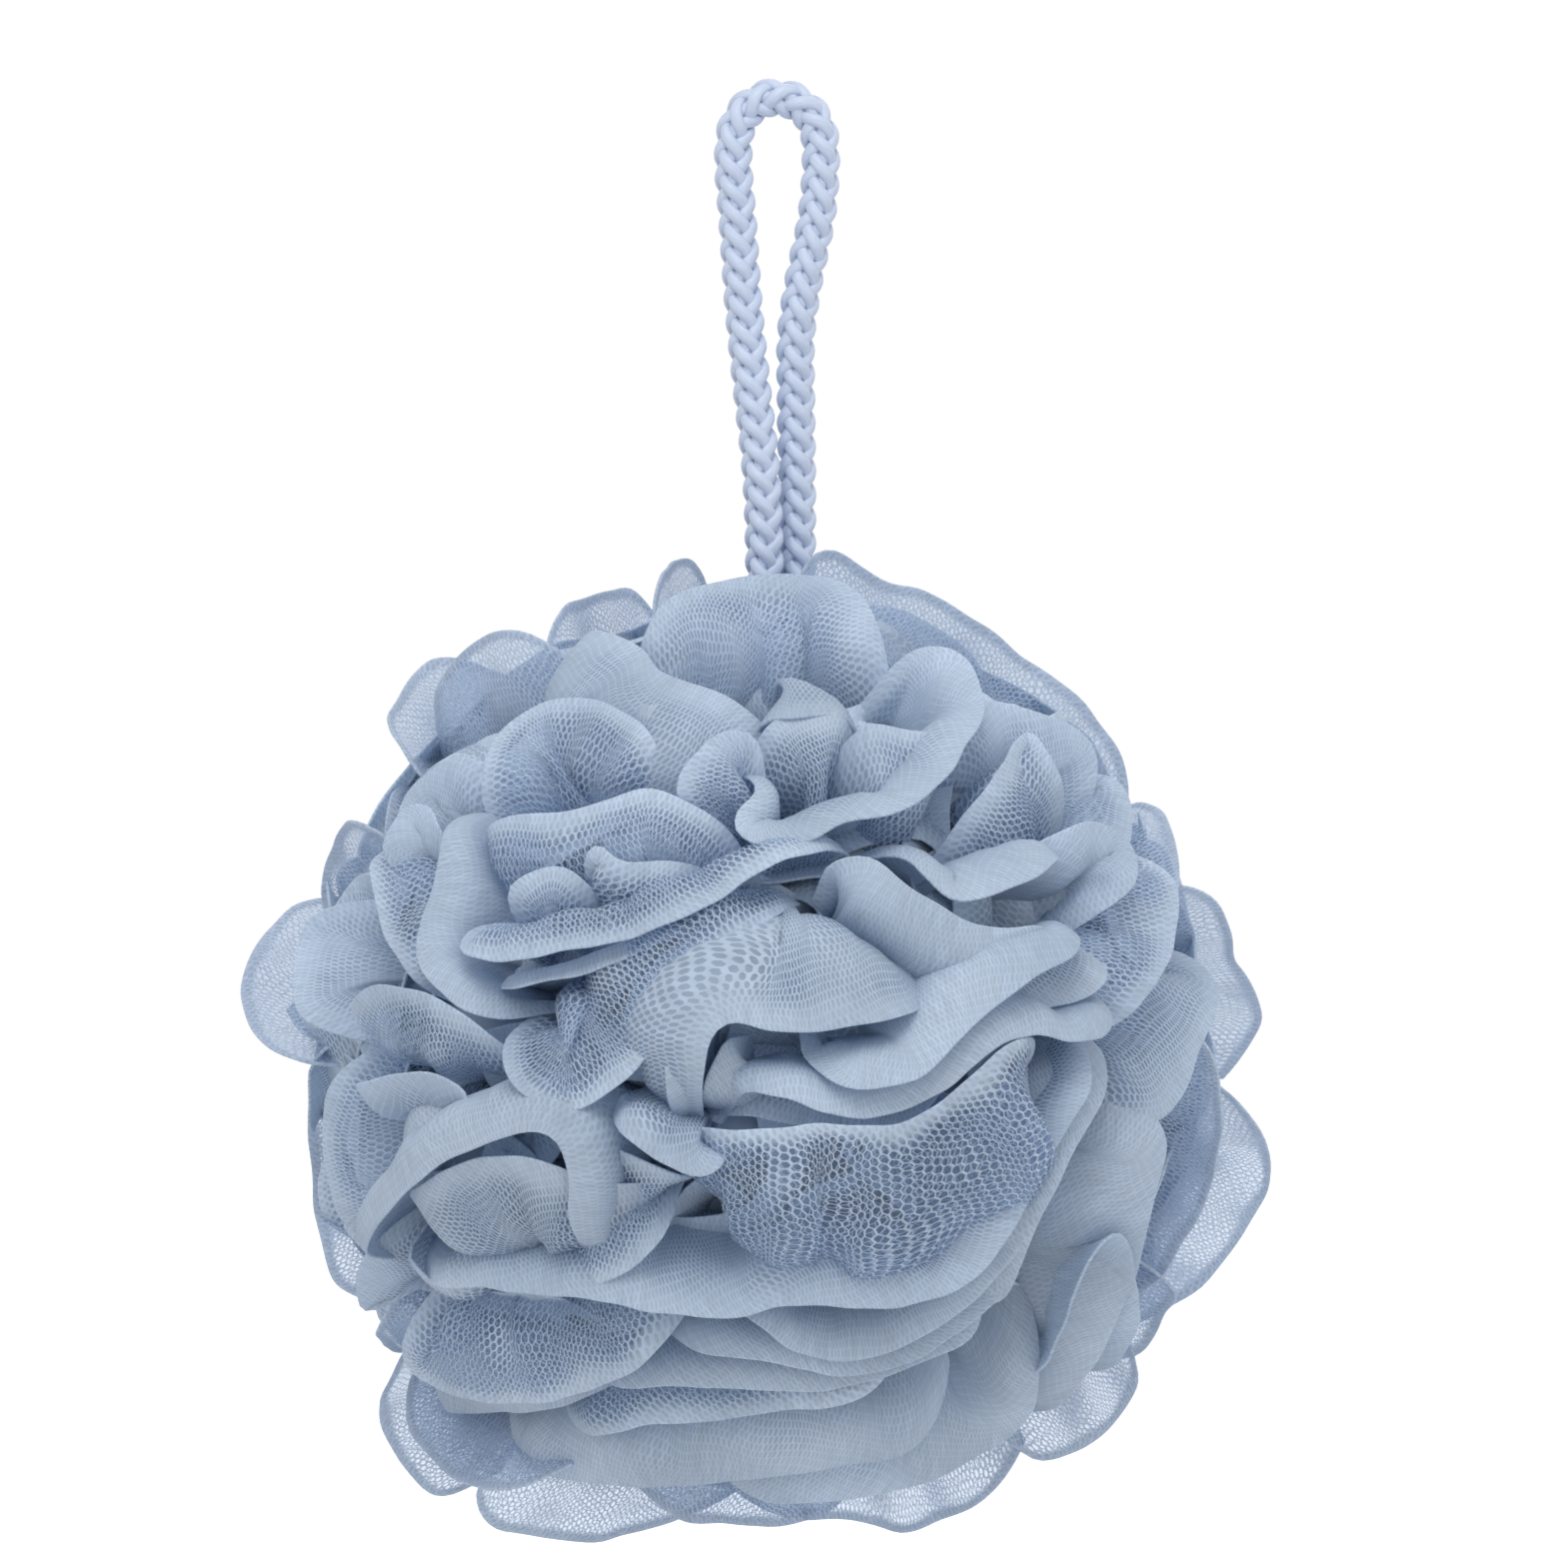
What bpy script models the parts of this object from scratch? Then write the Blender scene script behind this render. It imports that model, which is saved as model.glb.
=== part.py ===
# Mesh bath pouf: one long net tube, laid double and gathered into a ball of folds,
# tied round its waist, with a braided cord loop to hang it by.
# Metres, +Z up, the front faces -Y. The origin is the hang point, the inside of the loop's top.

import math

import bmesh
import bpy
import numpy as np
from mathutils import Vector

# The ball of net
BALL_WIDTH = 0.1190
BALL_DEPTH = 0.1120
BALL_HEIGHT = 0.1145
HANG_TO_MIDDLE = 0.1080      # the hang point above the ball's middle
LOOP_OFFSET = 0.0022         # the loop stands this far to the right of the ball's middle
NET_THICKNESS = 0.0024       # a fold of the double net, with the air in it
HEART_SHARE = 0.80           # the packed middle of the gathers, as a share of the ball
ROOT_DEPTH = 0.003           # a fold's sheet runs on this far inside the packed middle
GRID_SIZE = 0.0009           # the cell in which the folds are grown together
FACE_BUDGET = 11000          # triangles of the net before the cord's way is cut
RIM_SWING = 0.013            # a rim petal's hem swings this far forwards and back
RIM_LIE = 0.009              # how far a rim petal's sheet runs before it turns inwards
TUCK_LENGTH = 0.011          # over this length a hem's ends dive into the ball
TUCK_SHARE = 0.15            # how deep they dive, as a share of their distance from the middle
RIM_TUCK_SHARE = 0.05
HEM_TAPER = 0.75             # how roundly a sheet's lie narrows towards the ends of its hem
EASE_FACTOR = 0.5            # how much the grown skin is eased, and how often
EASE_PASSES = 5

# The hanging cord
CORD_DIAMETER = 0.0046
CORD_GAP = 0.0003            # clearance between cord, knot, tie and net
CORD_STATIONS = 60
CHANNEL_ROOM = 0.0014        # free room round the two legs inside the ball

# The tie round the waist of the gathers
TIE_DIAMETER = 0.0024
WAIST_RADIUS = 0.0042

# The stopper knot over the tie
KNOT_TURNS = 3
KNOT_RADIUS = 0.0050
KNOT_PITCH = 0.0036

# The sketch of the folds is drawn on a ball of this size, in millimetres from its middle
SKETCH_WIDTH = 119.0
SKETCH_HEIGHT = 114.5
SKETCH_SCALE = BALL_WIDTH / SKETCH_WIDTH

# Lean of the rim petals, which swing their sheets a little to one side of the hem, in degrees
RIM_LEAN_BEHIND = 8.0
RIM_LEAN_BEFORE = -14.0

# Side and back folds: even spots over the whole ball, of which those of the front stay free
FOLD_SPOTS = 96
FRONT_END = -0.12            # the front's own folds reach this far round, as a share of the half depth
BACK_SEED = 11
BACK_HEIGHTS = (0.93, 1.0)
BACK_REACH = 0.88            # how far out a back fold reaches as seen from the front
BACK_LEANS = (45, 80)
BACK_LIES = (0.005, 0.011)
BACK_HALF_LENGTHS = (0.36, 0.50)
BACK_SWAYS = (0.07, 0.15)
BACK_END_SINK = 0.10         # the ends of a back hem sink by this share
BACK_TURNS = (-0.35, 0.35)   # how far a hem turns from its neighbours' heading, in radians
BACK_LEFT_SHARE = 0.75       # this share of the back folds leans left of its hem
POLE_SHARE = 0.985           # keeps the spots off the ball's poles

# Neighbouring back hems run side by side: their heading swings with the place on the ball
HEADING_ACROSS = (1.3, 2.4, 1.0)   # swing in radians, its turns over the half width, its start
HEADING_UP = (1.5, 2.2)            # swing in radians, its turns over the half height

BALL_MIDDLE = Vector((-LOOP_OFFSET, 0.0, -HANG_TO_MIDDLE))
BALL_HALF = np.array((BALL_WIDTH, BALL_DEPTH, BALL_HEIGHT)) / 2

# The tie runs round the waist, the knot stands on the tie, and the legs end in the knot
TIE_RING_RADIUS = WAIST_RADIUS + CORD_GAP + TIE_DIAMETER / 2
TIE_TOP = BALL_MIDDLE.z + TIE_RING_RADIUS + TIE_DIAMETER / 2
KNOT_MIDDLE = (0.0009, 0.0002)
KNOT_BOTTOM = TIE_TOP + CORD_GAP
KNOT_TOP = KNOT_BOTTOM + KNOT_TURNS * KNOT_PITCH

# The cord's route from one end over the loop to the other: x, y, z in the sketch's millimetres
# from the hang point
CORD_ROUTE = (
    (-1.0, -1.5, -76.0),
    (-1.1, -1.6, -63.0),
    (-1.2, -1.5, -50.0),
    (-1.6, -1.2, -41.0),
    (-2.7, -0.5, -31.0),
    (-3.6, 0.0, -22.0),
    (-4.3, 0.0, -12.0),
    (-4.8, 0.0, -5.0),
    (-4.3, 0.0, -0.8),
    (-2.4, 0.0, 1.5),
    (0.3, 0.0, 2.3),
    (3.0, 0.0, 1.4),
    (4.9, 0.0, -0.9),
    (5.4, 0.0, -4.8),
    (4.9, 0.0, -11.5),
    (3.4, 0.1, -19.0),
    (2.5, 0.4, -25.5),
    (2.5, 1.2, -33.0),
    (2.6, 1.7, -42.0),
    (2.6, 2.0, -51.0),
    (2.7, 2.0, -64.0),
    (2.8, 1.8, -76.0),
)

# Petals that stand out at the rim: how far behind the middle plane, then x, z along the hem
RIM_PETALS = {
    "tab": (3, ((-12.5, 48), (-11.3, 54), (-9.5, 56.6), (-7, 56.2), (-5.6, 52))),
    "cord_left": (6, ((-7, 50), (-4.5, 53.8), (-1.5, 54), (2, 52.5))),
    "top_right": (4, ((3.5, 50), (6, 56), (9, 57.4), (12.5, 55.4), (16, 53.6), (20, 53), (26, 49.5),
            (31, 45), (37, 41.5), (41, 37), (43.5, 32), (43, 26))),
    "right_upper": (-6, ((41, 22), (43.5, 27), (46, 27.8), (48.4, 24.5), (49.3, 18), (48.5, 12))),
    "right_thin": (3, ((47, 20), (52, 18), (55, 14), (56.3, 9.5), (58.8, 5.5), (59.3, 1),
            (57.5, -4.5))),
    "right_wide": (5, ((54, -3), (57.3, -7.5), (59.8, -13), (59.3, -18.5), (56, -24), (51, -30),
            (46, -35))),
    "right_inner": (-13, ((43, -33), (47.5, -27), (51, -20), (53.6, -12), (53.6, -5), (51, 1.5),
            (46, 2.5))),
    "right_notch": (7, ((44, -24), (48.5, -28), (48, -32), (44.6, -37), (40, -39))),
    "left_foot_inner": (-10, ((-38, -33), (-40.4, -39), (-39.6, -45), (-35, -49.6), (-29, -51),
            (-22, -50))),
    "bottom_mid": (7, ((-16, -52), (-9, -55.2), (-3, -56), (3, -56.2), (9, -55.4), (14, -52))),
    "right_lower": (-2, ((43, -33), (44.6, -37), (43.8, -41.5), (40, -45.3), (34, -48.5),
            (31, -48))),
    "bottom_right": (4, ((33, -48), (28, -52), (22, -54.6), (17, -57), (11, -55.8), (4, -56.3),
            (-3, -55))),
    "bottom_left": (-3, ((-1, -54.5), (-8, -55.6), (-15, -57.1), (-22, -57.4), (-29, -56.2),
            (-33, -53), (-32, -50))),
    "left_foot": (4, ((-31, -51.5), (-37, -52.3), (-40.5, -49.5), (-43.8, -44.5), (-43.8, -41),
            (-41.5, -36.5), (-38, -34))),
    "left_tuck": (-4, ((-39, -36), (-42.2, -36), (-43.8, -33), (-42.8, -29))),
    "left_lower": (3, ((-42, -31), (-46, -29.6), (-49.5, -26.5), (-51.6, -19), (-52.2, -11),
            (-51.3, -3), (-48, 2))),
    "left_thin": (5, ((-47, -3), (-53, -1.8), (-58, 1), (-59.6, 5.5), (-59, 10.5), (-56, 15),
            (-51, 18.3), (-47, 19))),
    "left_small": (-3, ((-50, 15), (-48.8, 21), (-47.4, 25.4), (-45.6, 26.3), (-43.4, 23.5))),
    "left_upper": (3, ((-45, 23), (-41.5, 27.3), (-38, 29), (-34, 27))),
    "top_left_thin": (5, ((-36, 28), (-41, 34), (-42.6, 38.5), (-40.7, 42.7), (-36.5, 45.7),
            (-31, 45.5))),
    "top_left_inner": (-7, ((-31, 28), (-35.5, 31.5), (-37.2, 37), (-36.2, 42.5), (-32.5, 46.8),
            (-27.5, 48.7), (-22, 47.5))),
    "top_left_back": (5, ((-26, 46.5), (-23, 50.5), (-18.7, 52.8), (-14.5, 53), (-10.5, 50.5))),
}

# Folds of the front: height on the ball, lean in degrees towards the left of the hem's run, how far
# the sheet lies over before it turns inwards, then x, z along the hem
FRONT_FOLDS = {
    "crown_left": (0.96, -78, 15, ((-24, 48), (-19, 47.4), (-14, 45), (-10.5, 42.3), (-6, 41),
            (-0.5, 40.2))),
    "crown_left_low": (0.95, -70, 8, ((-17, 39.8), (-11, 39.6), (-5.5, 38.8), (-1.3, 36.3))),
    "crown_hollow": (0.88, -60, 8, ((-10.5, 44), (-9.5, 47.6), (-6.5, 49.4), (-2, 49), (4, 50))),
    "crown_back": (0.98, -70, 7, ((-17, 47), (-13, 49.5), (-9, 52), (-5.5, 53.6), (-2, 54.6),
            (1.5, 54), (5, 55.2), (9, 55.2), (14, 52.5), (18, 50))),
    "left_brow": (0.935, -70, 9, ((-44.5, 22), (-43, 28), (-39.5, 33), (-34, 35.5), (-29, 36))),
    "crown_mid": (0.955, 80, 14, ((-1.5, 39), (2, 38.2), (6, 38), (10, 38), (14, 37.6))),
    "crown_face": (0.95, -72, 10, ((-1.8, 35.8), (2, 37.8), (6, 38.6), (10, 38.3), (13.5, 36.8))),
    "shell": (0.95, -78, 12, ((-33, 26), (-32, 31), (-29, 36.2), (-24, 39.7), (-18.5, 40),
            (-13.5, 37.8), (-10.3, 34), (-9.3, 30))),
    "shell_low": (0.99, -80, 8, ((-33.2, 22.5), (-32.5, 26), (-28, 26.9), (-22.5, 27.1),
            (-17, 28.6), (-12, 29.8), (-7, 28.2), (-2.5, 25.4), (1, 22.7))),
    "curl_left": (0.99, -74, 6, ((-30, 14.8), (-27.6, 18.4), (-23.8, 20.8), (-20.4, 20.4),
            (-17.6, 17.6))),
    "curl_mid": (1, -75, 5, ((-20, 18.5), (-19.6, 21.8), (-17.5, 23.7), (-14.5, 22), (-9.5, 21.8),
            (-5.5, 23.3))),
    "band_upper": (1.03, 75, 6, ((-31, 17.5), (-34, 14.8), (-33.6, 11.8), (-30, 10.6), (-24, 10.9),
            (-16, 12.5), (-8, 15.6), (0, 19.8), (7, 23.3), (12.5, 26))),
    "band_strip": (0.99, 60, 3, ((-31, 10), (-31.5, 8.4), (-27, 7.4), (-20, 8.8), (-12, 12),
            (-4, 15.8))),
    "u_ribbon": (1, 75, 4, ((-34.6, 31.5), (-36.2, 26.5), (-36.4, 20), (-37.6, 15), (-37.9, 11),
            (-36.3, 7.3), (-33, 4.6), (-30, 3.8), (-26.5, 5.4))),
    "band_wide": (1.03, 80, 14, ((-30, 5), (-30.4, 1.5), (-28, -2.4), (-24, -5.6), (-20.6, -6.3),
            (-16.5, -4.3), (-12, -0.5), (-8.5, 5), (-4, 11), (2, 15.5), (6, 19.5))),
    "hood_wall": (1.05, -70, 4, ((-9.6, -9.5), (-10, -4), (-9.7, 2), (-8.5, 7.3), (-5.8, 10.6),
            (-1, 12.5))),
    "hood": (1.09, 82, 14, ((-6.8, -8.5), (-5.9, -3), (-4.9, 1.4), (-2.4, 3.4), (2, 2.8), (7, 3),
            (13, 3.4), (18.5, 4.8), (23.5, 7.6))),
    "collar": (1.09, 72, 6, ((5.8, 3), (5.7, -0.4), (8.6, -3), (13, -3.8), (17.5, -2.7), (21, -0.2),
            (25, 3.3), (29.5, 7), (34.5, 10.4), (38.5, 13.3), (41, 16.5))),
    "s_ribbon": (1.05, -78, 6, ((7, 20), (8.5, 22.8), (12.5, 22.5), (16, 19.8), (20, 17),
            (24, 15.2), (29, 14.3), (34, 14.4), (39, 15.6))),
    "s_loop": (1.02, 70, 6, ((14, 25.5), (17.5, 23.3), (19.3, 20), (22, 17.4), (25, 17), (30, 19.2),
            (35, 22.2), (39, 24.2))),
    "s_end": (1, -65, 5, ((31, 24.2), (36, 25.6), (40.5, 25.7), (43.2, 23), (43, 18.5), (40, 15))),
    "loop_band": (0.985, -76, 9, ((9, 36.9), (13, 37.2), (17.5, 37), (21.5, 36.2), (24, 34.5))),
    "fan": (0.97, -72, 10, ((23, 24.5), (25.5, 29.5), (28.4, 33.2), (31, 36.2), (33.7, 33.2),
            (37, 29.6), (40, 26))),
    "fan_back": (0.96, -64, 9, ((21, 35.5), (25, 38.2), (30, 38), (35, 36.4), (39.5, 32.8),
            (42, 27))),
    "tube_loop": (1, 75, 5, ((-3.4, 36), (-1.2, 33), (-0.4, 30), (-2, 27), (-1.8, 24.8), (1, 23.4),
            (5, 23.7), (10, 25.7), (16, 27.3), (20.5, 30), (24, 34.2), (26, 38.5), (25.5, 42.6),
            (22.5, 45.7), (18.5, 47.3), (14.5, 46.5))),
    "arch": (0.99, -62, 9, ((-9.4, 27), (-8.5, 31.5), (-6, 34.9), (-3, 36))),
    "right_net": (0.98, 62, 12, ((44, 7.5), (47.2, 11.5), (48.2, 17), (47.8, 22), (46, 26.8))),
    "right_shoulder": (0.965, 64, 9, ((45, -4), (50, -1), (52.8, 4), (53.2, 9), (51, 14.5))),
    "ribbon_low": (1.06, 74, 5, ((-3.6, -8.3), (-1.2, -4.5), (2.5, -4.8), (8, -6.7), (14, -6.8),
            (18.6, -5.4), (22.5, -3), (27, 0.2), (31.5, 2.2), (37, 1.4), (41.5, 3), (44.6, 7.6))),
    "under_ribbon": (0.99, 62, 7, ((-7, -8), (0, -7), (8, -8.6), (15, -8.4), (21, -5.6), (26, -2))),
    "hood_inner": (1.01, -72, 9, ((-6.6, -7), (-5.4, -2), (-3.6, 1.6), (-0.5, 2.2))),
    "scoop": (1.07, -86, 22, ((-10.5, -9.3), (-6, -8.6), (0, -8.1), (6, -7.9), (12, -7.9),
            (18, -6.8), (23, -3.6), (28, 0.6), (32.5, 2), (36.3, -1))),
    "curl_low": (1.07, 78, 4.5, ((-18.5, -7.2), (-14.5, -9.3), (-10.5, -12), (-7, -13.6),
            (-4, -13.3), (-2.7, -11.3), (-4.4, -9.3))),
    "hollow_net": (0.98, -60, 8, ((-18, -9.8), (-13.5, -11.3), (-9.5, -13.6), (-7.2, -16))),
    "calla_arc": (1.04, 76, 5.5, ((-46.3, -28.3), (-44, -21.5), (-40, -16.5), (-35, -12.5),
            (-30, -9.8), (-26, -8.7), (-22.8, -9.8), (-21.2, -13), (-20.8, -17), (-20.4, -21.5))),
    "calla_belly": (1.05, -84, 14, ((-42, -21), (-39.6, -16), (-34.5, -13.3), (-29, -12.4),
            (-25, -12.5), (-21.5, -13.4), (-18, -15.8), (-15, -19), (-13, -23))),
    "left_fold": (0.98, -68, 6, ((-50, -5.5), (-45, -3.4), (-40, -2.6), (-35.5, -2.7),
            (-32.8, -4.4), (-32.6, -7), (-35, -9.6), (-40, -10.4), (-45, -10.6))),
    "left_dark": (0.97, 45, 14, ((-48.5, 20), (-51.6, 15), (-52.8, 9.5), (-52.4, 4), (-49.5, 0.5))),
    "left_smooth": (0.98, -62, 7, ((-43, 18), (-42.4, 24), (-39.6, 27.8), (-36.8, 27),
            (-35.6, 21.5))),
    "left_hex": (0.965, 80, 9, ((-45.5, 26), (-44.4, 20), (-42.4, 14.2), (-38.6, 7.8),
            (-33.8, 3.8))),
    "left_net": (0.99, -75, 9, ((-51, 2.5), (-46.5, 5.4), (-41.5, 6), (-36.6, 5.1), (-32.5, 3.3),
            (-30, 0.5), (-28.5, -3))),
    "left_apron": (0.94, 66, 9, ((-47, 2.5), (-49.2, -6), (-49.5, -14), (-47.6, -21),
            (-44.8, -27))),
    "left_notch": (0.97, 45, 5, ((-41.4, -19), (-44, -22.6), (-46, -27), (-45, -30.4), (-42, -30))),
    "foot_fold": (1, -60, 5, ((-41, -20.5), (-39.6, -23.5), (-36.6, -26), (-32, -26.6))),
    "sweep_1": (1, -70, 8, ((-39, -27.6), (-32, -27.3), (-26, -27.3), (-20.5, -28.7), (-17.5, -32),
            (-17, -36))),
    "sweep_2": (1.02, 55, 5, ((-43, -25.4), (-37, -26.8), (-30, -27), (-21, -27.3), (-12, -29.4),
            (-4, -29.8), (3, -28.3), (11, -28.9), (18, -28.6), (24.5, -25.4), (29.5, -19.5),
            (33.5, -12.5), (37.5, -4.5), (42, 3))),
    "sweep_3": (1, 50, 4, ((-6, -29.9), (0, -31.4), (5, -34.2), (10, -34.8), (16, -33.6),
            (22, -30.4), (28, -24.8), (32.5, -18), (36.5, -10.5), (41, -3.4))),
    "sweep_4": (0.98, 50, 3.5, ((-14, -34.2), (-6, -34.3), (2, -35.2), (9, -36.7), (15, -35.9),
            (21.5, -33.2), (27.5, -28.4), (31, -22), (35, -15))),
    "sweep_5": (0.97, 50, 3.5, ((-22, -39.9), (-13, -38.7), (-4, -38), (5, -38.4), (12, -37.8),
            (19, -35.6), (25, -32.6))),
    "net_cone": (1.02, -78, 17, ((-41, -32), (-39, -29.3), (-34.5, -28.1), (-29, -27.9), (-23, -29),
            (-18, -31.2), (-12.5, -31.4), (-7, -31))),
    "cone_foot": (0.95, 74, 8, ((-40, -43), (-33, -42.3), (-26, -41.4), (-20, -40.4),
            (-13, -39.6))),
    "flat_band": (1, 74, 7, ((-33, -46), (-27, -48.6), (-19, -49.9), (-9, -49.7), (1, -49),
            (11, -47.4), (19, -45.2), (26, -42))),
    "flat_band_top": (0.98, 50, 4, ((-25.5, -45), (-18, -44), (-9, -42.3), (0, -41.2), (8, -40.7),
            (14, -39.4), (20, -37))),
    "bottom_fold": (0.97, 60, 6, ((-8, -52.5), (2, -52.3), (12, -51.6), (20, -50), (27, -46.5),
            (31.5, -42), (33, -37), (36, -31))),
    "long_1": (1, 62, 9, ((27.5, -34), (29.2, -27.5), (32.4, -19), (36.5, -10), (41, -3.5),
            (45, 1))),
    "long_loop": (0.985, -42, 6, ((31.5, -42.5), (34.2, -33.5), (38, -24), (41.4, -20.9),
            (43.6, -24.6), (43.2, -34), (38.5, -42))),
    "long_3": (0.97, 64, 10, ((30, -46.5), (35.5, -41.5), (40, -34.5), (43, -27.3), (44.8, -20),
            (47, -11), (46, -1))),
}


def clear_scene():
    for thing in list(bpy.data.objects):
        bpy.data.objects.remove(thing, do_unlink=True)


def new_collection(name):
    collection = bpy.data.collections.new(name)
    bpy.context.scene.collection.children.link(collection)
    return collection


def material(name, colour, roughness):
    made = bpy.data.materials.new(name)
    made.use_nodes = True
    shader = made.node_tree.nodes["Principled BSDF"]
    shader.inputs["Base Color"].default_value = (*colour, 1.0)
    shader.inputs["Roughness"].default_value = roughness
    shader.inputs["Metallic"].default_value = 0.0
    return made


def new_object(name, data, collection):
    made = bpy.data.objects.new(name, data)
    collection.objects.link(made)
    return made


def evaluated_mesh(thing):
    """A plain mesh of an object with its modifiers or its curve worked out."""
    graph = bpy.context.evaluated_depsgraph_get()
    mesh = bpy.data.meshes.new_from_object(thing.evaluated_get(graph))
    mesh.transform(thing.matrix_world)
    return mesh


def smooth_run(points, stations):
    """Even stations along a Catmull-Rom curve through the points."""
    route = np.asarray(points, dtype=float)
    padded = np.vstack((2 * route[0] - route[1], route, 2 * route[-1] - route[-2]))
    spans = len(route) - 1
    place = np.linspace(0, spans, spans * 16 + 1)
    first = np.minimum(place.astype(int), spans - 1)
    t = (place - first)[:, None]
    a, b, c, d = (padded[first + k] for k in range(4))
    fine = 0.5 * (2 * b + (c - a) * t + (2 * a - 5 * b + 4 * c - d) * t**2
                  + (3 * b - 3 * c + d - a) * t**3)
    run = np.concatenate(([0], np.cumsum(np.linalg.norm(np.diff(fine, axis=0), axis=1))))
    even = np.linspace(0, run[-1], stations)
    return np.column_stack([np.interp(even, run, fine[:, k]) for k in range(fine.shape[1])])


def sketch_to_ball(x, z):
    """Sketch millimetres to shares of the ball's half width and half height."""
    return x / (SKETCH_WIDTH / 2), z / (SKETCH_HEIGHT / 2)


def front_hem(height, points):
    """Hem points of the front sketch, laid on the ball at their height (1 is the ball's face)."""
    hem = []
    for x, z in points:
        across, up = sketch_to_ball(x, z)
        inside = max(height**2 - across**2 - up**2, 0.0)
        hem.append((across, -math.sqrt(inside), up))
    return np.array(hem)


def rim_hem(set_back, points):
    """Hem points that stand beside the ball's middle plane, swinging from front to back."""
    hem = []
    for k, (x, z) in enumerate(points):
        across, up = sketch_to_ball(x, z)
        swing = RIM_SWING * math.sin(math.pi * (k / (len(points) - 1) - 0.5))
        if set_back < 0:
            swing = -swing
        hem.append((across, (set_back * SKETCH_SCALE + swing) / (BALL_DEPTH / 2), up))
    return np.array(hem)


def between(limits, share):
    return limits[0] + (limits[1] - limits[0]) * share


def back_hem(middle, heading, half_length, sway, height, phase):
    """A meandering hem about a direction of the ball, as shares of the ball's half sizes."""
    out = middle / np.linalg.norm(middle)
    along = np.cross(out, (0.0, 0.0, 1.0))
    along /= np.linalg.norm(along)
    across = np.cross(out, along)
    ahead = math.cos(heading) * along + math.sin(heading) * across
    aside = np.cross(out, ahead)
    hem = []
    for t in np.linspace(-1, 1, 11):
        step = out + ahead * (t * half_length) + aside * (sway * math.sin(math.pi * 1.5 * t + phase))
        rise = height * (1 - BACK_END_SINK * t**4)
        hem.append(step / np.linalg.norm(step) * rise)
    return np.array(hem)


def directions(vectors):
    return vectors / np.linalg.norm(vectors, axis=1)[:, None]


def tucked(row, tuck):
    """A hem whose two ends dive into the ball."""
    run = np.concatenate(([0], np.cumsum(np.linalg.norm(np.diff(row, axis=0), axis=1))))
    reach = min(TUCK_LENGTH, 0.3 * run[-1])
    near_end = np.clip(np.minimum(run, run[-1] - run) / reach, 0, 1)
    return row * (1 - tuck * (1 - near_end) ** 2)[:, None]


def sheet_mesh(hem, lean, lie_over, tuck, stations=28, rows=10):
    """An open sheet from its hem down into the packed middle.

    Each row steps inwards along the ball's radius and sideways across the hem, by a lean that
    fades once the sheet has lain over far enough.
    """
    row = tucked(smooth_run(hem * BALL_HALF, stations), tuck)
    ahead = directions(np.gradient(row, axis=0))
    height = np.linalg.norm(hem, axis=1).max()
    depth = lie_over + BALL_HALF[0] * (height - HEART_SHARE) + ROOT_DEPTH
    step = depth / (rows - 1)
    taper = np.sin(np.pi * np.linspace(0.06, 0.94, stations)) ** HEM_TAPER
    sheet = [row]
    for k in range(rows - 1):
        outward = directions(row)
        side = directions(np.cross(outward, ahead))
        gone = step * (k + 0.5)
        angle = math.radians(lean) / (1 + (gone / (lie_over * taper)) ** 4)
        row = row + step * (side * np.sin(angle)[:, None] - outward * np.cos(angle)[:, None])
        sheet.append(row)
    return np.array(sheet).reshape(-1, 3), grid_faces(rows, stations)


def grid_faces(rows, columns):
    return [(r * columns + c, r * columns + c + 1, (r + 1) * columns + c + 1, (r + 1) * columns + c)
            for r in range(rows - 1) for c in range(columns - 1)]


def fold_spots():
    """Directions spread evenly over the ball: each is turned on from the last by the golden angle."""
    golden = math.pi * (3 - math.sqrt(5))
    spots = []
    for k in range(FOLD_SPOTS):
        z = 1 - 2 * (k + 0.5) / FOLD_SPOTS
        ring = math.sqrt(1 - z * z)
        around = golden * k
        spots.append(np.array((ring * math.cos(around), ring * math.sin(around), z * POLE_SHARE)))
    return spots


def hem_heading(middle):
    """Which way a hem runs at a place on the ball, as an angle in radians."""
    x, y, z = middle
    swing, turns, start = HEADING_ACROSS
    across = swing * math.sin(turns * x + start)
    swing, turns = HEADING_UP
    return across + swing * math.cos(turns * z + y)


def back_folds():
    """Folds of the sides and the back, kept within the rim petals as seen from the front."""
    draw = np.random.default_rng(BACK_SEED)
    folds = []
    for middle in fold_spots():
        heading, length, sway, height, phase, lean, sign = draw.random(7)
        if middle[1] < FRONT_END:
            continue
        top = min(between(BACK_HEIGHTS, height), BACK_REACH / math.hypot(middle[0], middle[2]))
        turned = hem_heading(middle) + between(BACK_TURNS, heading)
        hem = back_hem(middle, turned, between(BACK_HALF_LENGTHS, length),
                       between(BACK_SWAYS, sway), top, phase * 2 * math.pi)
        side = 1 if sign < BACK_LEFT_SHARE else -1
        folds.append((hem, side * between(BACK_LEANS, lean), between(BACK_LIES, sway), TUCK_SHARE))
    return folds


def all_folds():
    """Every fold of the net: hem, lean, how far it lies over and how deep its ends are tucked."""
    folds = []
    for set_back, points in RIM_PETALS.values():
        lean = RIM_LEAN_BEHIND if set_back > 0 else RIM_LEAN_BEFORE
        folds.append((rim_hem(set_back, points), lean, RIM_LIE, RIM_TUCK_SHARE))
    for height, lean, lie_over, points in FRONT_FOLDS.values():
        folds.append((front_hem(height, points), lean, lie_over * SKETCH_SCALE, TUCK_SHARE))
    return folds + back_folds()


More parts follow.
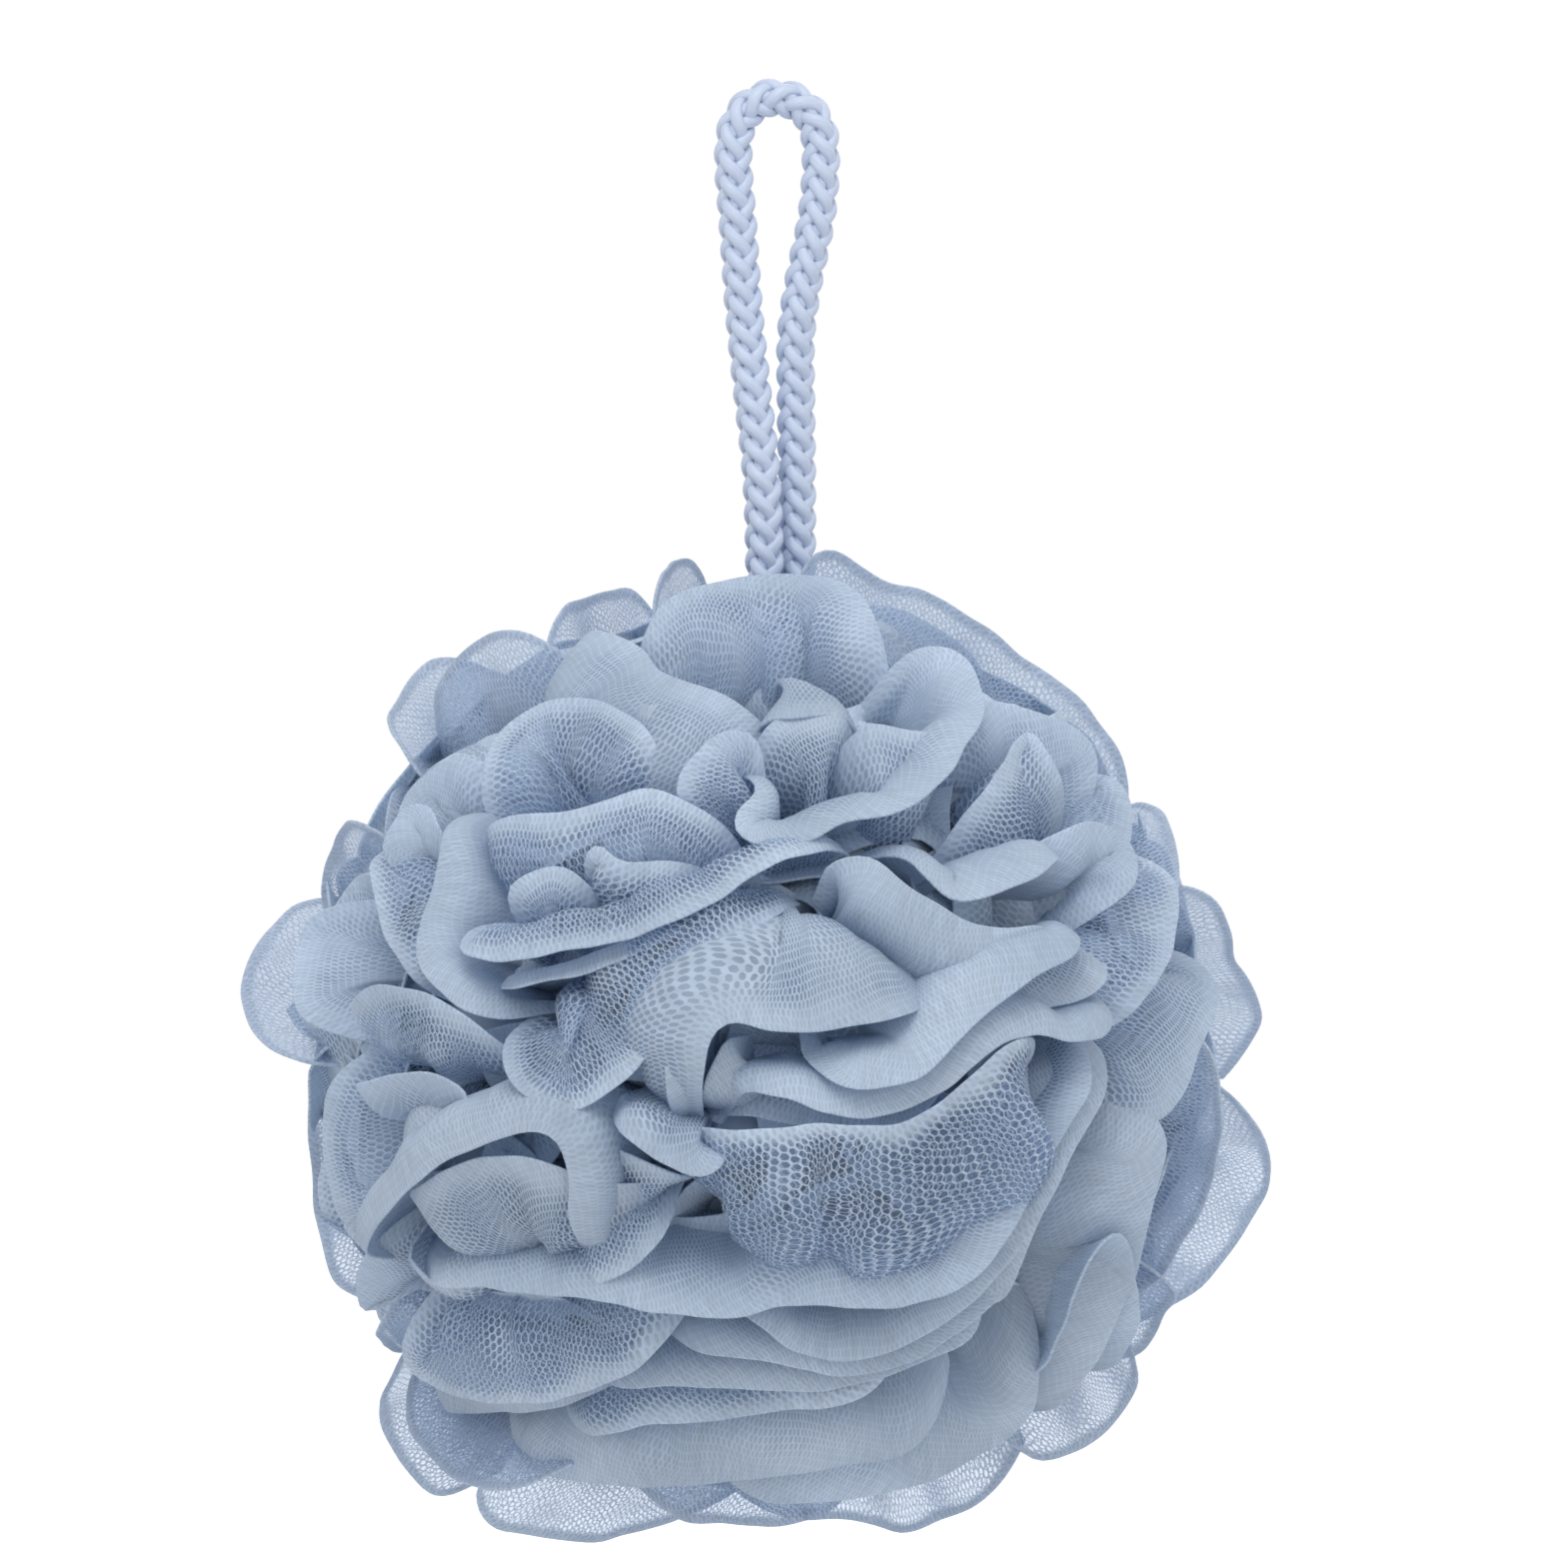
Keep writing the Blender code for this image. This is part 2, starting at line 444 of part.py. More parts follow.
def net_sheets(collection):
    """All the folds as open sheets, thickened to the double net."""
    verts, faces = [], []
    for fold in all_folds():
        points, quads = sheet_mesh(*fold)
        start = len(verts)
        verts.extend(points)
        faces.extend([tuple(start + corner for corner in quad) for quad in quads])
    mesh = bpy.data.meshes.new("net_sheets")
    mesh.from_pydata([tuple(v) for v in verts], [], faces)
    sheets = new_object("net_sheets", mesh, collection)
    wall = sheets.modifiers.new("double_net", "SOLIDIFY")
    wall.thickness = NET_THICKNESS
    wall.offset = 0.0
    return sheets


def heart_mesh():
    """The packed middle, where the gathers press together."""
    shape = bmesh.new()
    bmesh.ops.create_icosphere(shape, subdivisions=4, radius=1.0)
    for corner in shape.verts:
        corner.co = Vector(BALL_HALF * HEART_SHARE * np.array(corner.co))
    mesh = bpy.data.meshes.new("net_heart")
    shape.to_mesh(mesh)
    shape.free()
    return mesh


def join_meshes(name, meshes):
    shape = bmesh.new()
    for mesh in meshes:
        shape.from_mesh(mesh)
    joined = bpy.data.meshes.new(name)
    shape.to_mesh(joined)
    shape.free()
    return joined


def largest_body(mesh):
    """Keeps the one skin that holds the net together, without closed pockets between folds."""
    shape = bmesh.new()
    shape.from_mesh(mesh)
    left = set(shape.verts)
    best = set()
    while left:
        seed = left.pop()
        body = {seed}
        front = [seed]
        while front:
            corner = front.pop()
            for edge in corner.link_edges:
                other = edge.other_vert(corner)
                if other in left:
                    left.remove(other)
                    body.add(other)
                    front.append(other)
        if len(body) > len(best):
            best = body
    bmesh.ops.delete(shape, geom=[v for v in shape.verts if v not in best], context="VERTS")
    kept = bpy.data.meshes.new("net_skin")
    shape.to_mesh(kept)
    shape.free()
    return kept


def make_netting(parts, guides):
    sheets = net_sheets(guides)
    folds = evaluated_mesh(sheets)
    bpy.data.objects.remove(sheets, do_unlink=True)
    raw = new_object("net_raw", join_meshes("net_raw", (folds, heart_mesh())), guides)
    grown = raw.modifiers.new("grown_together", "REMESH")
    grown.mode = "VOXEL"
    grown.voxel_size = GRID_SIZE
    skin = largest_body(evaluated_mesh(raw))
    bpy.data.objects.remove(raw, do_unlink=True)
    netting = new_object("netting", skin, parts)
    netting.location = BALL_MIDDLE
    facets = sum(len(face.vertices) - 2 for face in skin.polygons)
    eased = netting.modifiers.new("eased", "SMOOTH")
    eased.factor = EASE_FACTOR
    eased.iterations = EASE_PASSES
    thinned = netting.modifiers.new("facets", "DECIMATE")
    thinned.ratio = min(1.0, FACE_BUDGET / facets)
    netting.data.materials.append(material("net_blue_grey", (0.40, 0.47, 0.56), 0.55))
    for cutter in (leg_channel(guides), knot_room(guides), tie_groove(guides)):
        cut = netting.modifiers.new(cutter.name, "BOOLEAN")
        cut.operation = "DIFFERENCE"
        cut.object = cutter
    return netting


def as_cutter(thing):
    thing.hide_render = True
    thing.display_type = "WIRE"
    return thing


def upright_drum(name, collection, radii, middle, bottom, top, sides=20):
    """An upright drum of elliptical section between two heights."""
    shape = bmesh.new()
    bmesh.ops.create_cone(shape, cap_ends=True, segments=sides, radius1=1.0, radius2=1.0, depth=1.0)
    size = Vector((radii[0], radii[1], top - bottom))
    place = Vector((middle[0], middle[1], (top + bottom) / 2))
    for corner in shape.verts:
        corner.co = Vector(a * b for a, b in zip(corner.co, size)) + place
    mesh = bpy.data.meshes.new(name)
    shape.to_mesh(mesh)
    shape.free()
    return new_object(name, mesh, collection)


def leg_channel(guides):
    """The way of the cord's two legs, from the top of the ball down to the knot."""
    ball_top = BALL_MIDDLE.z + BALL_HEIGHT / 2
    route = np.array(CORD_ROUTE) * SKETCH_SCALE
    legs = route[route[:, 2] < ball_top + CHANNEL_ROOM]
    low, high = legs.min(axis=0), legs.max(axis=0)
    room = CORD_DIAMETER / 2 + CHANNEL_ROOM
    radii = [(high[k] - low[k]) / 2 + room for k in range(2)]
    middle = [(high[k] + low[k]) / 2 for k in range(2)]
    top = ball_top + 2 * CORD_DIAMETER
    return as_cutter(upright_drum("leg_channel", guides, radii, middle, KNOT_TOP, top))


def knot_room(guides):
    room = KNOT_RADIUS + 2 * CORD_GAP
    low, high = TIE_TOP, KNOT_TOP + CORD_GAP
    return as_cutter(upright_drum("knot_room", guides, (room, room), KNOT_MIDDLE, low, high))


def ring(name, collection, tube_radius):
    """A ring round the waist of the gathers, which runs along X."""
    bpy.ops.mesh.primitive_torus_add(major_radius=TIE_RING_RADIUS, minor_radius=tube_radius,
                                     major_segments=28, minor_segments=10,
                                     location=BALL_MIDDLE, rotation=(0.0, math.pi / 2, 0.0))
    made = bpy.context.object
    made.name = name
    for holder in list(made.users_collection):
        holder.objects.unlink(made)
    collection.objects.link(made)
    return made


def tie_groove(guides):
    return as_cutter(ring("tie_groove", guides, TIE_DIAMETER / 2 + CORD_GAP))


def make_tie(parts):
    tie = ring("binding_tie", parts, TIE_DIAMETER / 2)
    tie.data.shade_smooth()
    tie.data.materials.append(material("tie_white", (0.80, 0.83, 0.88), 0.6))
    return tie


def make_knot(parts):
    """A stopper knot: the cord's ends wound round the legs, turned as a stack of rounded coils."""
    height = KNOT_TURNS * KNOT_PITCH
    roll = KNOT_PITCH / 2
    profile = [(0.0, height)]
    for turn in range(KNOT_TURNS):
        centre = height - roll - turn * KNOT_PITCH
        for angle in (75, 40, 0, -40, -75):
            out = KNOT_RADIUS - roll + roll * math.cos(math.radians(angle))
            profile.append((out, centre + roll * math.sin(math.radians(angle))))
    profile.append((0.0, 0.0))
    mesh = bpy.data.meshes.new("cord_knot")
    edges = [(k, k + 1) for k in range(len(profile) - 1)]
    mesh.from_pydata([(r, 0.0, z) for r, z in profile], edges, [])
    knot = new_object("cord_knot", mesh, parts)
    knot.location = (*KNOT_MIDDLE, KNOT_BOTTOM)
    turned = knot.modifiers.new("turned", "SCREW")
    turned.steps = 18
    turned.render_steps = 18
    turned.use_merge_vertices = True
    turned.merge_threshold = 0.00001
    knot.data.materials.append(material("cord_white", (0.80, 0.83, 0.88), 0.6))
    return knot


def make_cord(parts):
    route = np.array(CORD_ROUTE) * SKETCH_SCALE
    seat = KNOT_TOP + CORD_GAP
    ends = [(x, y, seat) for x, y, z in (route[0], route[-1])]
    run = smooth_run([ends[0], *route, ends[1]], CORD_STATIONS)
    curve = bpy.data.curves.new("hanging_cord", "CURVE")
    curve.dimensions = "3D"
    curve.bevel_depth = CORD_DIAMETER / 2
    curve.bevel_resolution = 2
    curve.use_fill_caps = True
    curve.render_resolution_u = 0
    spline = curve.splines.new("POLY")
    spline.points.add(len(run) - 1)
    for point, place in zip(spline.points, run):
        point.co = (*place, 1.0)
    cord = new_object("hanging_cord", curve, parts)
    curve.materials.append(material("braid_white", (0.80, 0.83, 0.88), 0.6))
    return cord


def main():
    clear_scene()
    parts = new_collection("mesh_bath_pouf")
    guides = new_collection("guides")
    make_netting(parts, guides)
    make_tie(parts)
    make_knot(parts)
    make_cord(parts)


main()
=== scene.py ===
# Mesh bath pouf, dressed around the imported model: a ball of gathered double net on a braided cord loop.
# Places are in mm from the ball's middle or from the hang point, and become metres where a mesh is made.
import bpy
import math
import numpy as np
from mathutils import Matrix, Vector


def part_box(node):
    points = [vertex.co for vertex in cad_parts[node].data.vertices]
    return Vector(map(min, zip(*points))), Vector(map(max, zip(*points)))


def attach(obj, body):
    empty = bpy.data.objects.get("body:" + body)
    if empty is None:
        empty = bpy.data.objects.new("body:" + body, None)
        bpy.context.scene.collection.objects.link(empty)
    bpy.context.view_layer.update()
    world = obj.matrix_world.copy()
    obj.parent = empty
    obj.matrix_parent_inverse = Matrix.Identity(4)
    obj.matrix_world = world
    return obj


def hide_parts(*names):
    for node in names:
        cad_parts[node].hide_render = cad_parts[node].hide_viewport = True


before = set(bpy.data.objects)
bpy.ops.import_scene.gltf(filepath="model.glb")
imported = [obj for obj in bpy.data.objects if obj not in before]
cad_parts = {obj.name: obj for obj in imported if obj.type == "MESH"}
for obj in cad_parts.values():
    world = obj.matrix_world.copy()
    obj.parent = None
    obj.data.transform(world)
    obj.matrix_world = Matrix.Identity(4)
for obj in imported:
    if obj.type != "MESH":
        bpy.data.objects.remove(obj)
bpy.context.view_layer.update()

ball = dict(
    middle=(-2.2, 0.0, -108.0),  # from the hang point
    half=(59.5, 56.0, 57.25),    # half width, half depth, half height
    heart=0.74,                  # packed middle of the gathers, as a share of the ball
)
netRun = dict(
    hemRadius=0.20,      # the rolled edge where the flat tube folds over
    layerGap=0.20,       # air between the two layers, half of it
    frontStep=1.15,      # spacing of the mesh along a front hem
    backStep=1.5,
    waveHeight=0.22,     # soft unevenness of a hem
    pleatHeight=0.24,    # gathers that run from the hem to the middle
    pleatWidth=9.0,
    tuck=0.15,           # a hem's ends dive into the ball by this share
    rimTuck=0.05,
    opensOver=3.0,       # the net opens over this much of its way in from the hem
    rimOpensOver=1.0,
    rimShutsAfter=6.0,   # further in, the layers of the rim lie together again
    shutsAfter=99.0,     # the others stay open all the way in
    tuckLength=11.0,
    rimSwing=13.0,       # a rim petal's hem swings this far forwards and back
    tubeWidth=0.10,      # flat width of the net tube, metres
)
netCell = dict(
    width=0.72,          # across the strands of an open fold, mm
    drawnTogether=0.6,   # how much closer the strands lie on a shut fold
    length=1.9,
    strand=0.115,        # half a strand where the net is open, as a share of two strand places
    closedStrand=0.30,
    clear=0.14,          # share of the background seen through the strands of an open fold
    holeClear=0.78,
    through=0.40,        # share of the light that passes through the strands
    relief=0.00016,
    shutRelief=0.34,     # how much of the pattern still shows where the net is shut
    # colour painted into the net's holes: painted shade of the layers seen through them
    holeShadeColour=(0.34, 0.42, 0.53, 1),
)
rimPetals = {  # set back in mm, then x, z along the hem in mm from the ball's middle
    "tab": (3, [(-12.5, 48), (-11.3, 54), (-9.5, 56.6), (-7, 56.2), (-5.6, 52)]),
    "cordLeft": (6, [(-7, 50), (-4.5, 53.8), (-1.5, 54), (2, 52.5)]),
    "topRight": (4, [(3.5, 50), (6, 56), (9, 57.4), (12.5, 55.4), (16, 53.6), (20, 53), (26, 49.5),
        (31, 45), (37, 41.5), (41, 37), (43.5, 32), (43.4, 26), (41, 20.5)]),
    "rightUpper": (-6, [(41, 22), (43.5, 27), (46, 27.8), (48.4, 24.5), (49.3, 18), (48.5, 12)]),
    "rightThin": (3, [(47, 20), (52, 18), (55, 14), (56.3, 9.5), (58.8, 5.5), (59.3, 1), (57.5, -4.5)]),
    "rightWide": (5, [(54, -3), (57.3, -7.5), (59.8, -13), (59.3, -18.5), (56, -24), (51, -30), (46, -35)]),
    "rightInner": (-13, [(43, -33), (47.5, -27), (51, -20), (53.6, -12), (53.6, -5), (51, 1.5), (46, 2.5)]),
    "rightNotch": (7, [(44, -24), (48.5, -28), (48, -32), (44.6, -37), (40, -39)]),
    "leftFootInner": (-10, [(-38, -33), (-40.4, -39), (-39.6, -45), (-35, -49.6), (-29, -51), (-22, -50)]),
    "bottomMid": (7, [(-16, -52), (-9, -55.2), (-3, -56), (3, -56.2), (9, -55.4), (14, -52)]),
    "rightLower": (-2, [(43, -33), (44.6, -37), (43.8, -41.5), (40, -45.3), (34, -48.5), (31, -48)]),
    "bottomRight": (4, [(33, -48), (28, -52), (22, -54.6), (17, -57), (11, -55.8), (4, -56.3), (-3, -55)]),
    "bottomLeft": (-3, [(-1, -54.5), (-8, -55.6), (-15, -57.1), (-22, -57.4), (-29, -56.2), (-33, -53),
        (-32, -50)]),
    "leftFoot": (4, [(-31, -51.5), (-37, -52.3), (-40.5, -49.5), (-43.8, -44.5), (-43.8, -41),
        (-41.5, -36.5), (-38, -34)]),
    "leftTuck": (-4, [(-39, -36), (-42.2, -36), (-43.8, -33), (-42.8, -29)]),
    "leftLower": (3, [(-42, -31), (-46, -29.6), (-49.5, -26.5), (-51.6, -19), (-52.2, -11), (-51.3, -3),
        (-48, 2)]),
    "leftThin": (5, [(-45, -2), (-53, -1.8), (-58, 1), (-59.6, 5.5), (-59, 10.5), (-56, 15), (-50.5, 17.2),
        (-44, 16)]),
    "leftSmall": (-3, [(-46, 12), (-50.8, 16.5), (-50, 21), (-48, 25), (-45.5, 26.2), (-40, 22)]),
    "leftUpper": (3, [(-45, 21.5), (-43, 27.4), (-40.2, 30.8), (-36.8, 31.2), (-33, 27)]),
    "topLeftThin": (5, [(-36, 28), (-41, 34), (-42.6, 38.5), (-40.7, 42.7), (-36.5, 45.7), (-31, 45.5)]),
    "topLeftInner": (-7, [(-31, 28), (-35.5, 31.5), (-37.2, 37), (-36.2, 42.5), (-32.5, 46.8),
        (-27.5, 48.7), (-22, 47.5)]),
    "topLeftBack": (5, [(-26, 46.5), (-23, 50.5), (-18.7, 52.8), (-14.5, 53), (-10.5, 50.5)]),
}
frontFolds = {  # height, lean, lie over in mm, gape, then x, z along the hem
    "crownLeft": (0.965, -78, 15, 0.3, [(-24, 48.4), (-19, 48.4), (-14, 46.4), (-10.5, 43.4), (-6, 41.4),
        (-0.5, 40.2), (4.5, 39.4)]),
    "crownLeftLow": (0.95, -70, 8, 0.55, [(-17, 39.8), (-11, 39.6), (-5.5, 38.8), (-1.3, 36.3)]),
    "crownHollow": (0.78, -60, 8, 0.1, [(-10.5, 44), (-9.5, 47.6), (-6.5, 49.4), (-2, 49), (4, 50)]),
    "crownBack": (1.0, -70, 8, 0.55, [(-17, 47), (-13, 49.5), (-9, 51.8), (-5.5, 53.4), (-2, 54.2),
        (1.5, 54.5), (5, 54.7), (9, 54), (14, 52), (18, 49.5)]),
    "leftBrow": (0.925, -70, 9, 0.25, [(-43, 21), (-41.5, 26.5), (-38.5, 31), (-34, 33.5), (-29, 34.5)]),
    "crownMid": (0.955, 80, 14, 0.3, [(-1.5, 39), (2, 38.2), (6, 38), (10, 38), (14, 37.6)]),
    "crownFace": (0.95, -72, 10, 0.6, [(-1.8, 35.8), (2, 37.8), (6, 38.6), (10, 38.3), (13.5, 36.8)]),
    "shell": (0.95, -78, 12, 0.9, [(-33, 26), (-32, 31), (-29, 36.2), (-24, 39.7), (-18.5, 40),
        (-13.5, 37.8), (-10.3, 34), (-9.3, 30)]),
    "shellLow": (0.99, -80, 8, 0.85, [(-33.2, 22.5), (-32.5, 26), (-28, 26.9), (-22.5, 27.1), (-17, 28.6),
        (-12, 29.8), (-7, 28.2), (-2.5, 25.4), (1, 22.7)]),
    "curlLeft": (0.99, -74, 6, 0.8, [(-30, 14.8), (-27.6, 18.4), (-23.8, 20.8), (-20.4, 20.4),
        (-17.6, 17.6)]),
    "curlMid": (1, -75, 5, 0.8, [(-20, 18.5), (-19.6, 21.8), (-17.5, 23.7), (-14.5, 22), (-9.5, 21.8),
        (-5.5, 23.3)]),
    "bandUpper": (1.03, 75, 6, 0.9, [(-31, 17.5), (-34, 14.8), (-33.6, 11.8), (-30, 10.6), (-24, 10.9),
        (-16, 12.5), (-8, 15.6), (0, 19.8), (7, 23.3), (12.5, 26)]),
    "bandStrip": (0.99, 60, 3, 0.3, [(-31, 10), (-31.5, 8.4), (-27, 7.4), (-20, 8.8), (-12, 12),
        (-4, 15.8)]),
    "uRibbon": (1, 75, 4, 0.15, [(-34.6, 31.5), (-36.2, 26.5), (-36.4, 20), (-37.6, 15), (-37.9, 11),
        (-36.3, 7.3), (-33, 4.6), (-30, 3.8), (-26.5, 5.4)]),
    "bandWide": (1.03, 80, 14, 1, [(-30, 5), (-30.4, 1.5), (-28, -2.4), (-24, -5.6), (-20.6, -6.3),
        (-16.5, -4.3), (-12, -0.5), (-8.5, 5), (-4, 11), (2, 15.5), (6, 19.5)]),
    "hoodWall": (1.05, -70, 4, 0.15, [(-9.6, -9.5), (-10, -4), (-9.7, 2), (-8.5, 7.3), (-5.8, 10.6),
        (-1, 12.5)]),
    "hood": (1.09, 82, 14, 0.4, [(-6.8, -8.5), (-5.9, -3), (-4.9, 1.4), (-2.4, 3.4), (2, 2.8), (7, 3),
        (13, 3.4), (18.5, 4.8), (23.5, 7.6)]),
    "collar": (1.09, 72, 6, 0.1, [(5.8, 3), (5.7, -0.4), (8.6, -3), (13, -3.8), (17.5, -2.7), (21, -0.2),
        (25, 3.3), (29.5, 7), (34.5, 10.4), (38.5, 13.3), (41, 16.5)]),
    "collarUnder": (1.0, 70, 8, 0.4, [(22, -2), (27, 2), (31.5, 4.5), (36.5, 6), (41, 9), (43, 13)]),
    "sRibbon": (1.05, -78, 6, 0.1, [(7, 20), (8.5, 22.8), (12.5, 22.5), (16, 19.8), (20, 17), (24, 15.2),
        (29, 14.3), (34, 14.4), (39, 15.6)]),
    "sLoop": (1.02, 70, 6, 0.15, [(14, 25.5), (17.5, 23.3), (19.3, 20), (22, 17.4), (25, 17), (30, 19.2),
        (35, 22.2), (39, 24.2)]),
    "sEnd": (1, -65, 5, 0.25, [(31, 24.2), (36, 25.6), (40.5, 25.7), (43.2, 23), (43, 18.5), (40, 15)]),
    "loopBand": (0.985, -76, 9, 0.6, [(9, 36.9), (13, 37.2), (17.5, 37), (21.5, 36.2), (24, 34.5)]),
    "fan": (0.97, -72, 10, 0.7, [(23, 24.5), (25.5, 29.5), (28.4, 33.2), (31, 36.2), (33.7, 33.2),
        (37, 29.6), (40, 26)]),
    "fanBack": (0.97, -64, 9, 0.4, [(21, 37), (25, 39.6), (30, 39.6), (35, 37.8), (39.5, 33.6), (42, 27.5)]),
    "fanSide": (0.955, 62, 9, 0.6, [(37.5, 18), (41.6, 21.5), (43.4, 26.5), (41.6, 31.5), (37, 34.5)]),
    "tubeLoop": (1, 75, 5, 0.3, [(-3.4, 36), (-1.2, 33), (-0.4, 30), (-2, 27), (-1.8, 24.8), (1, 23.4),
        (5, 23.7), (10, 25.7), (16, 27.3), (20.5, 30), (24, 34.2), (26, 38.5), (25.5, 42.6), (22.5, 45.7),
        (18.5, 47.3), (14.5, 46.5)]),
    "arch": (1.01, -66, 9, 0.8, [(-9.8, 26.5), (-8.8, 31), (-6.4, 34.8), (-3, 36.4), (0.2, 35.4), (2, 32)]),
    "rightNet": (0.98, 62, 12, 0.9, [(40.5, 0.5), (44.6, 5.5), (47.4, 11), (48.2, 17), (47.8, 22),
        (46, 26.8)]),
    "rightShoulder": (0.965, 64, 10, 0.5, [(42, -12), (46.5, -8), (50.5, -2), (52.8, 4), (53.2, 9),
        (51, 14.5)]),
    "ribbonLow": (1.06, 74, 5, 0.15, [(-3.6, -8.3), (-1.2, -4.5), (2.5, -4.8), (8, -6.7), (14, -6.8),
        (18.6, -5.4), (22.5, -3), (27, 0.2), (31.5, 2.2), (37, 1.4), (41.5, 3), (44.6, 7.6)]),
    "underRibbon": (0.99, 62, 7, 0.5, [(-7, -8), (0, -7), (8, -8.6), (15, -8.4), (21, -5.6), (26, -2)]),
    "hoodInner": (1.01, -72, 9, 0.2, [(-6.6, -7), (-5.4, -2), (-3.6, 1.6), (-0.5, 2.2)]),
    "scoop": (1.07, -86, 22, 1.3, [(-10.5, -9.3), (-6, -8.6), (0, -8.1), (6, -7.9), (12, -7.9), (18, -6.8),
        (23, -3.6), (28, 0.6), (32.5, 2), (36.3, -1)]),
    "curlLow": (1.07, 78, 4.5, 0.6, [(-18.5, -7.2), (-14.5, -9.3), (-10.5, -12), (-7, -13.6), (-4, -13.3),
        (-2.7, -11.3), (-4.4, -9.3)]),
    "hollowNet": (0.98, -60, 8, 0.8, [(-18, -9.8), (-13.5, -11.3), (-9.5, -13.6), (-7.2, -16)]),
    "callaArc": (1.05, 76, 5.5, 0.2, [(-46.3, -28.3), (-44, -21.5), (-40, -16.5), (-35, -12.5), (-30, -9.8),
        (-26, -8.7), (-22.8, -9.8), (-21.2, -13), (-20.8, -17), (-21, -21.5), (-22.5, -26)]),
    "callaBelly": (1.03, -84, 13, 0.5, [(-42, -21), (-39.6, -16), (-34.5, -12.9), (-29, -11.6), (-24.5, -12),
        (-20, -13.4), (-15.5, -15.2), (-11, -16.8)]),
    "callaTail": (1.0, 70, 8, 0.85, [(-24, -25.6), (-19, -26), (-14, -24.6), (-10.4, -21), (-9, -16.6)]),
    "leftFold": (0.98, -68, 6, 0.4, [(-50, -5.5), (-45, -3.4), (-40, -2.6), (-35.5, -2.7), (-32.8, -4.4),
        (-32.6, -7), (-35, -9.6), (-40, -10.4), (-45, -10.6)]),
    "leftDark": (0.97, 45, 14, 0.35, [(-48.5, 20), (-51.6, 15), (-52.8, 9.5), (-52.4, 4), (-49.5, 0.5)]),
    "leftSmooth": (0.98, -62, 7, 0.15, [(-43, 18), (-42.4, 24), (-39.6, 27.8), (-36.8, 27), (-35.6, 21.5)]),
    "leftHex": (0.965, 80, 9, 1, [(-45.5, 26), (-44.4, 20), (-42.4, 14.2), (-38.6, 7.8), (-33.8, 3.8)]),
    "leftNet": (0.99, -75, 9, 0.8, [(-51, 2.5), (-46.5, 6), (-41.5, 7.4), (-36.6, 6.6), (-32.5, 4.2),
        (-30, 0.5), (-28.5, -3)]),
    "leftApron": (0.94, 66, 9, 0.7, [(-47, 2.5), (-49.2, -6), (-49.5, -14), (-47.6, -21), (-44.8, -27)]),
    "leftNotch": (0.97, 45, 5, 0.4, [(-41.4, -19), (-44, -22.6), (-46, -27), (-45, -30.4), (-42, -30)]),
    "footFold": (1, -60, 5, 0.5, [(-41, -20.5), (-39.6, -23.5), (-36.6, -26), (-32, -26.6)]),
    "sweep1": (0.9, -70, 8, 0.25, [(-39, -27.6), (-32, -27.3), (-26, -27.3), (-20.5, -28.7), (-17.5, -32),
        (-17, -36)]),
    "sweep2": (1.02, 55, 5, 0.35, [(-43, -25.4), (-37, -26.8), (-30, -27), (-21, -27.3), (-12, -29.4),
        (-4, -29.8), (3, -28.3), (11, -28.9), (18, -28.6), (24.5, -25.4), (29.5, -19.5), (33.5, -12.5),
        (37.5, -4.5), (42, 3)]),
    "sweep3": (1, 50, 4, 0.25, [(-6, -29.9), (0, -31.4), (5, -34.2), (10, -34.8), (16, -33.6), (22, -30.4),
        (28, -24.8), (32.5, -18), (36.5, -10.5), (41, -3.4)]),
    "sweep4": (0.98, 50, 3.5, 0.2, [(-14, -34.2), (-6, -34.3), (2, -35.2), (9, -36.7), (15, -35.9),
        (21.5, -33.2), (27.5, -28.4), (31, -22), (35, -15)]),
    "sweep5": (0.97, 50, 3.5, 0.2, [(-22, -39.9), (-13, -38.7), (-4, -38), (5, -38.4), (12, -37.8),
        (19, -35.6), (25, -32.6), (30, -27)]),
    "netCone": (1.0, 80, 11, 1, [(-41.5, -30), (-41, -35), (-37.5, -38.8), (-31, -40), (-24, -40),
        (-17.5, -38.2), (-11.5, -34.5), (-7, -30.5)]),
    "coneFoot": (0.95, 74, 8, 0.3, [(-40, -43), (-33, -42.3), (-26, -41.4), (-20, -40.4), (-13, -39.6)]),
    "flatBand": (1, 74, 7, 0.2, [(-33, -46), (-27, -48.6), (-19, -49.9), (-9, -49.7), (1, -49), (11, -47.4),
        (19, -45.2), (26, -42)]),
    "flatBandTop": (0.98, 50, 4, 1, [(-25.5, -45), (-18, -44), (-9, -42.3), (0, -41.2), (8, -40.7),
        (14, -39.4), (20, -37)]),
    "bottomFold": (0.97, 60, 6, 0.2, [(-8, -52.5), (2, -52.3), (12, -51.6), (20, -50), (27, -46.5),
        (31.5, -42), (33, -37), (36, -31)]),
    "long1": (1, 62, 9, 0.25, [(27.5, -34), (29.2, -27.5), (32.4, -19), (36.5, -10), (41, -3.5), (45, 1)]),
    "longLoop": (0.985, -42, 6, 0.15, [(31.5, -42.5), (34.2, -33.5), (38, -24), (41.4, -20.9), (43.6, -24.6),
        (43.2, -34), (38.5, -42)]),
    "long3": (0.97, 64, 10, 0.12, [(30, -46.5), (35.5, -41.5), (40, -34.5), (43, -27.3), (44.8, -20),
        (47, -11), (46, -1)]),
}
backFolds = dict(
    seed=11,
    spots=96,                  # even spots all over the ball, of which the front ones stay free
    frontEnd=-0.12,            # the front folds reach this far round, as a share of the half depth
    rimHeight=0.88,            # how far out from the middle a back fold reaches as seen from the front
    under=200,                 # lower folds between the others
    underHeights=(0.83, 0.90),
)

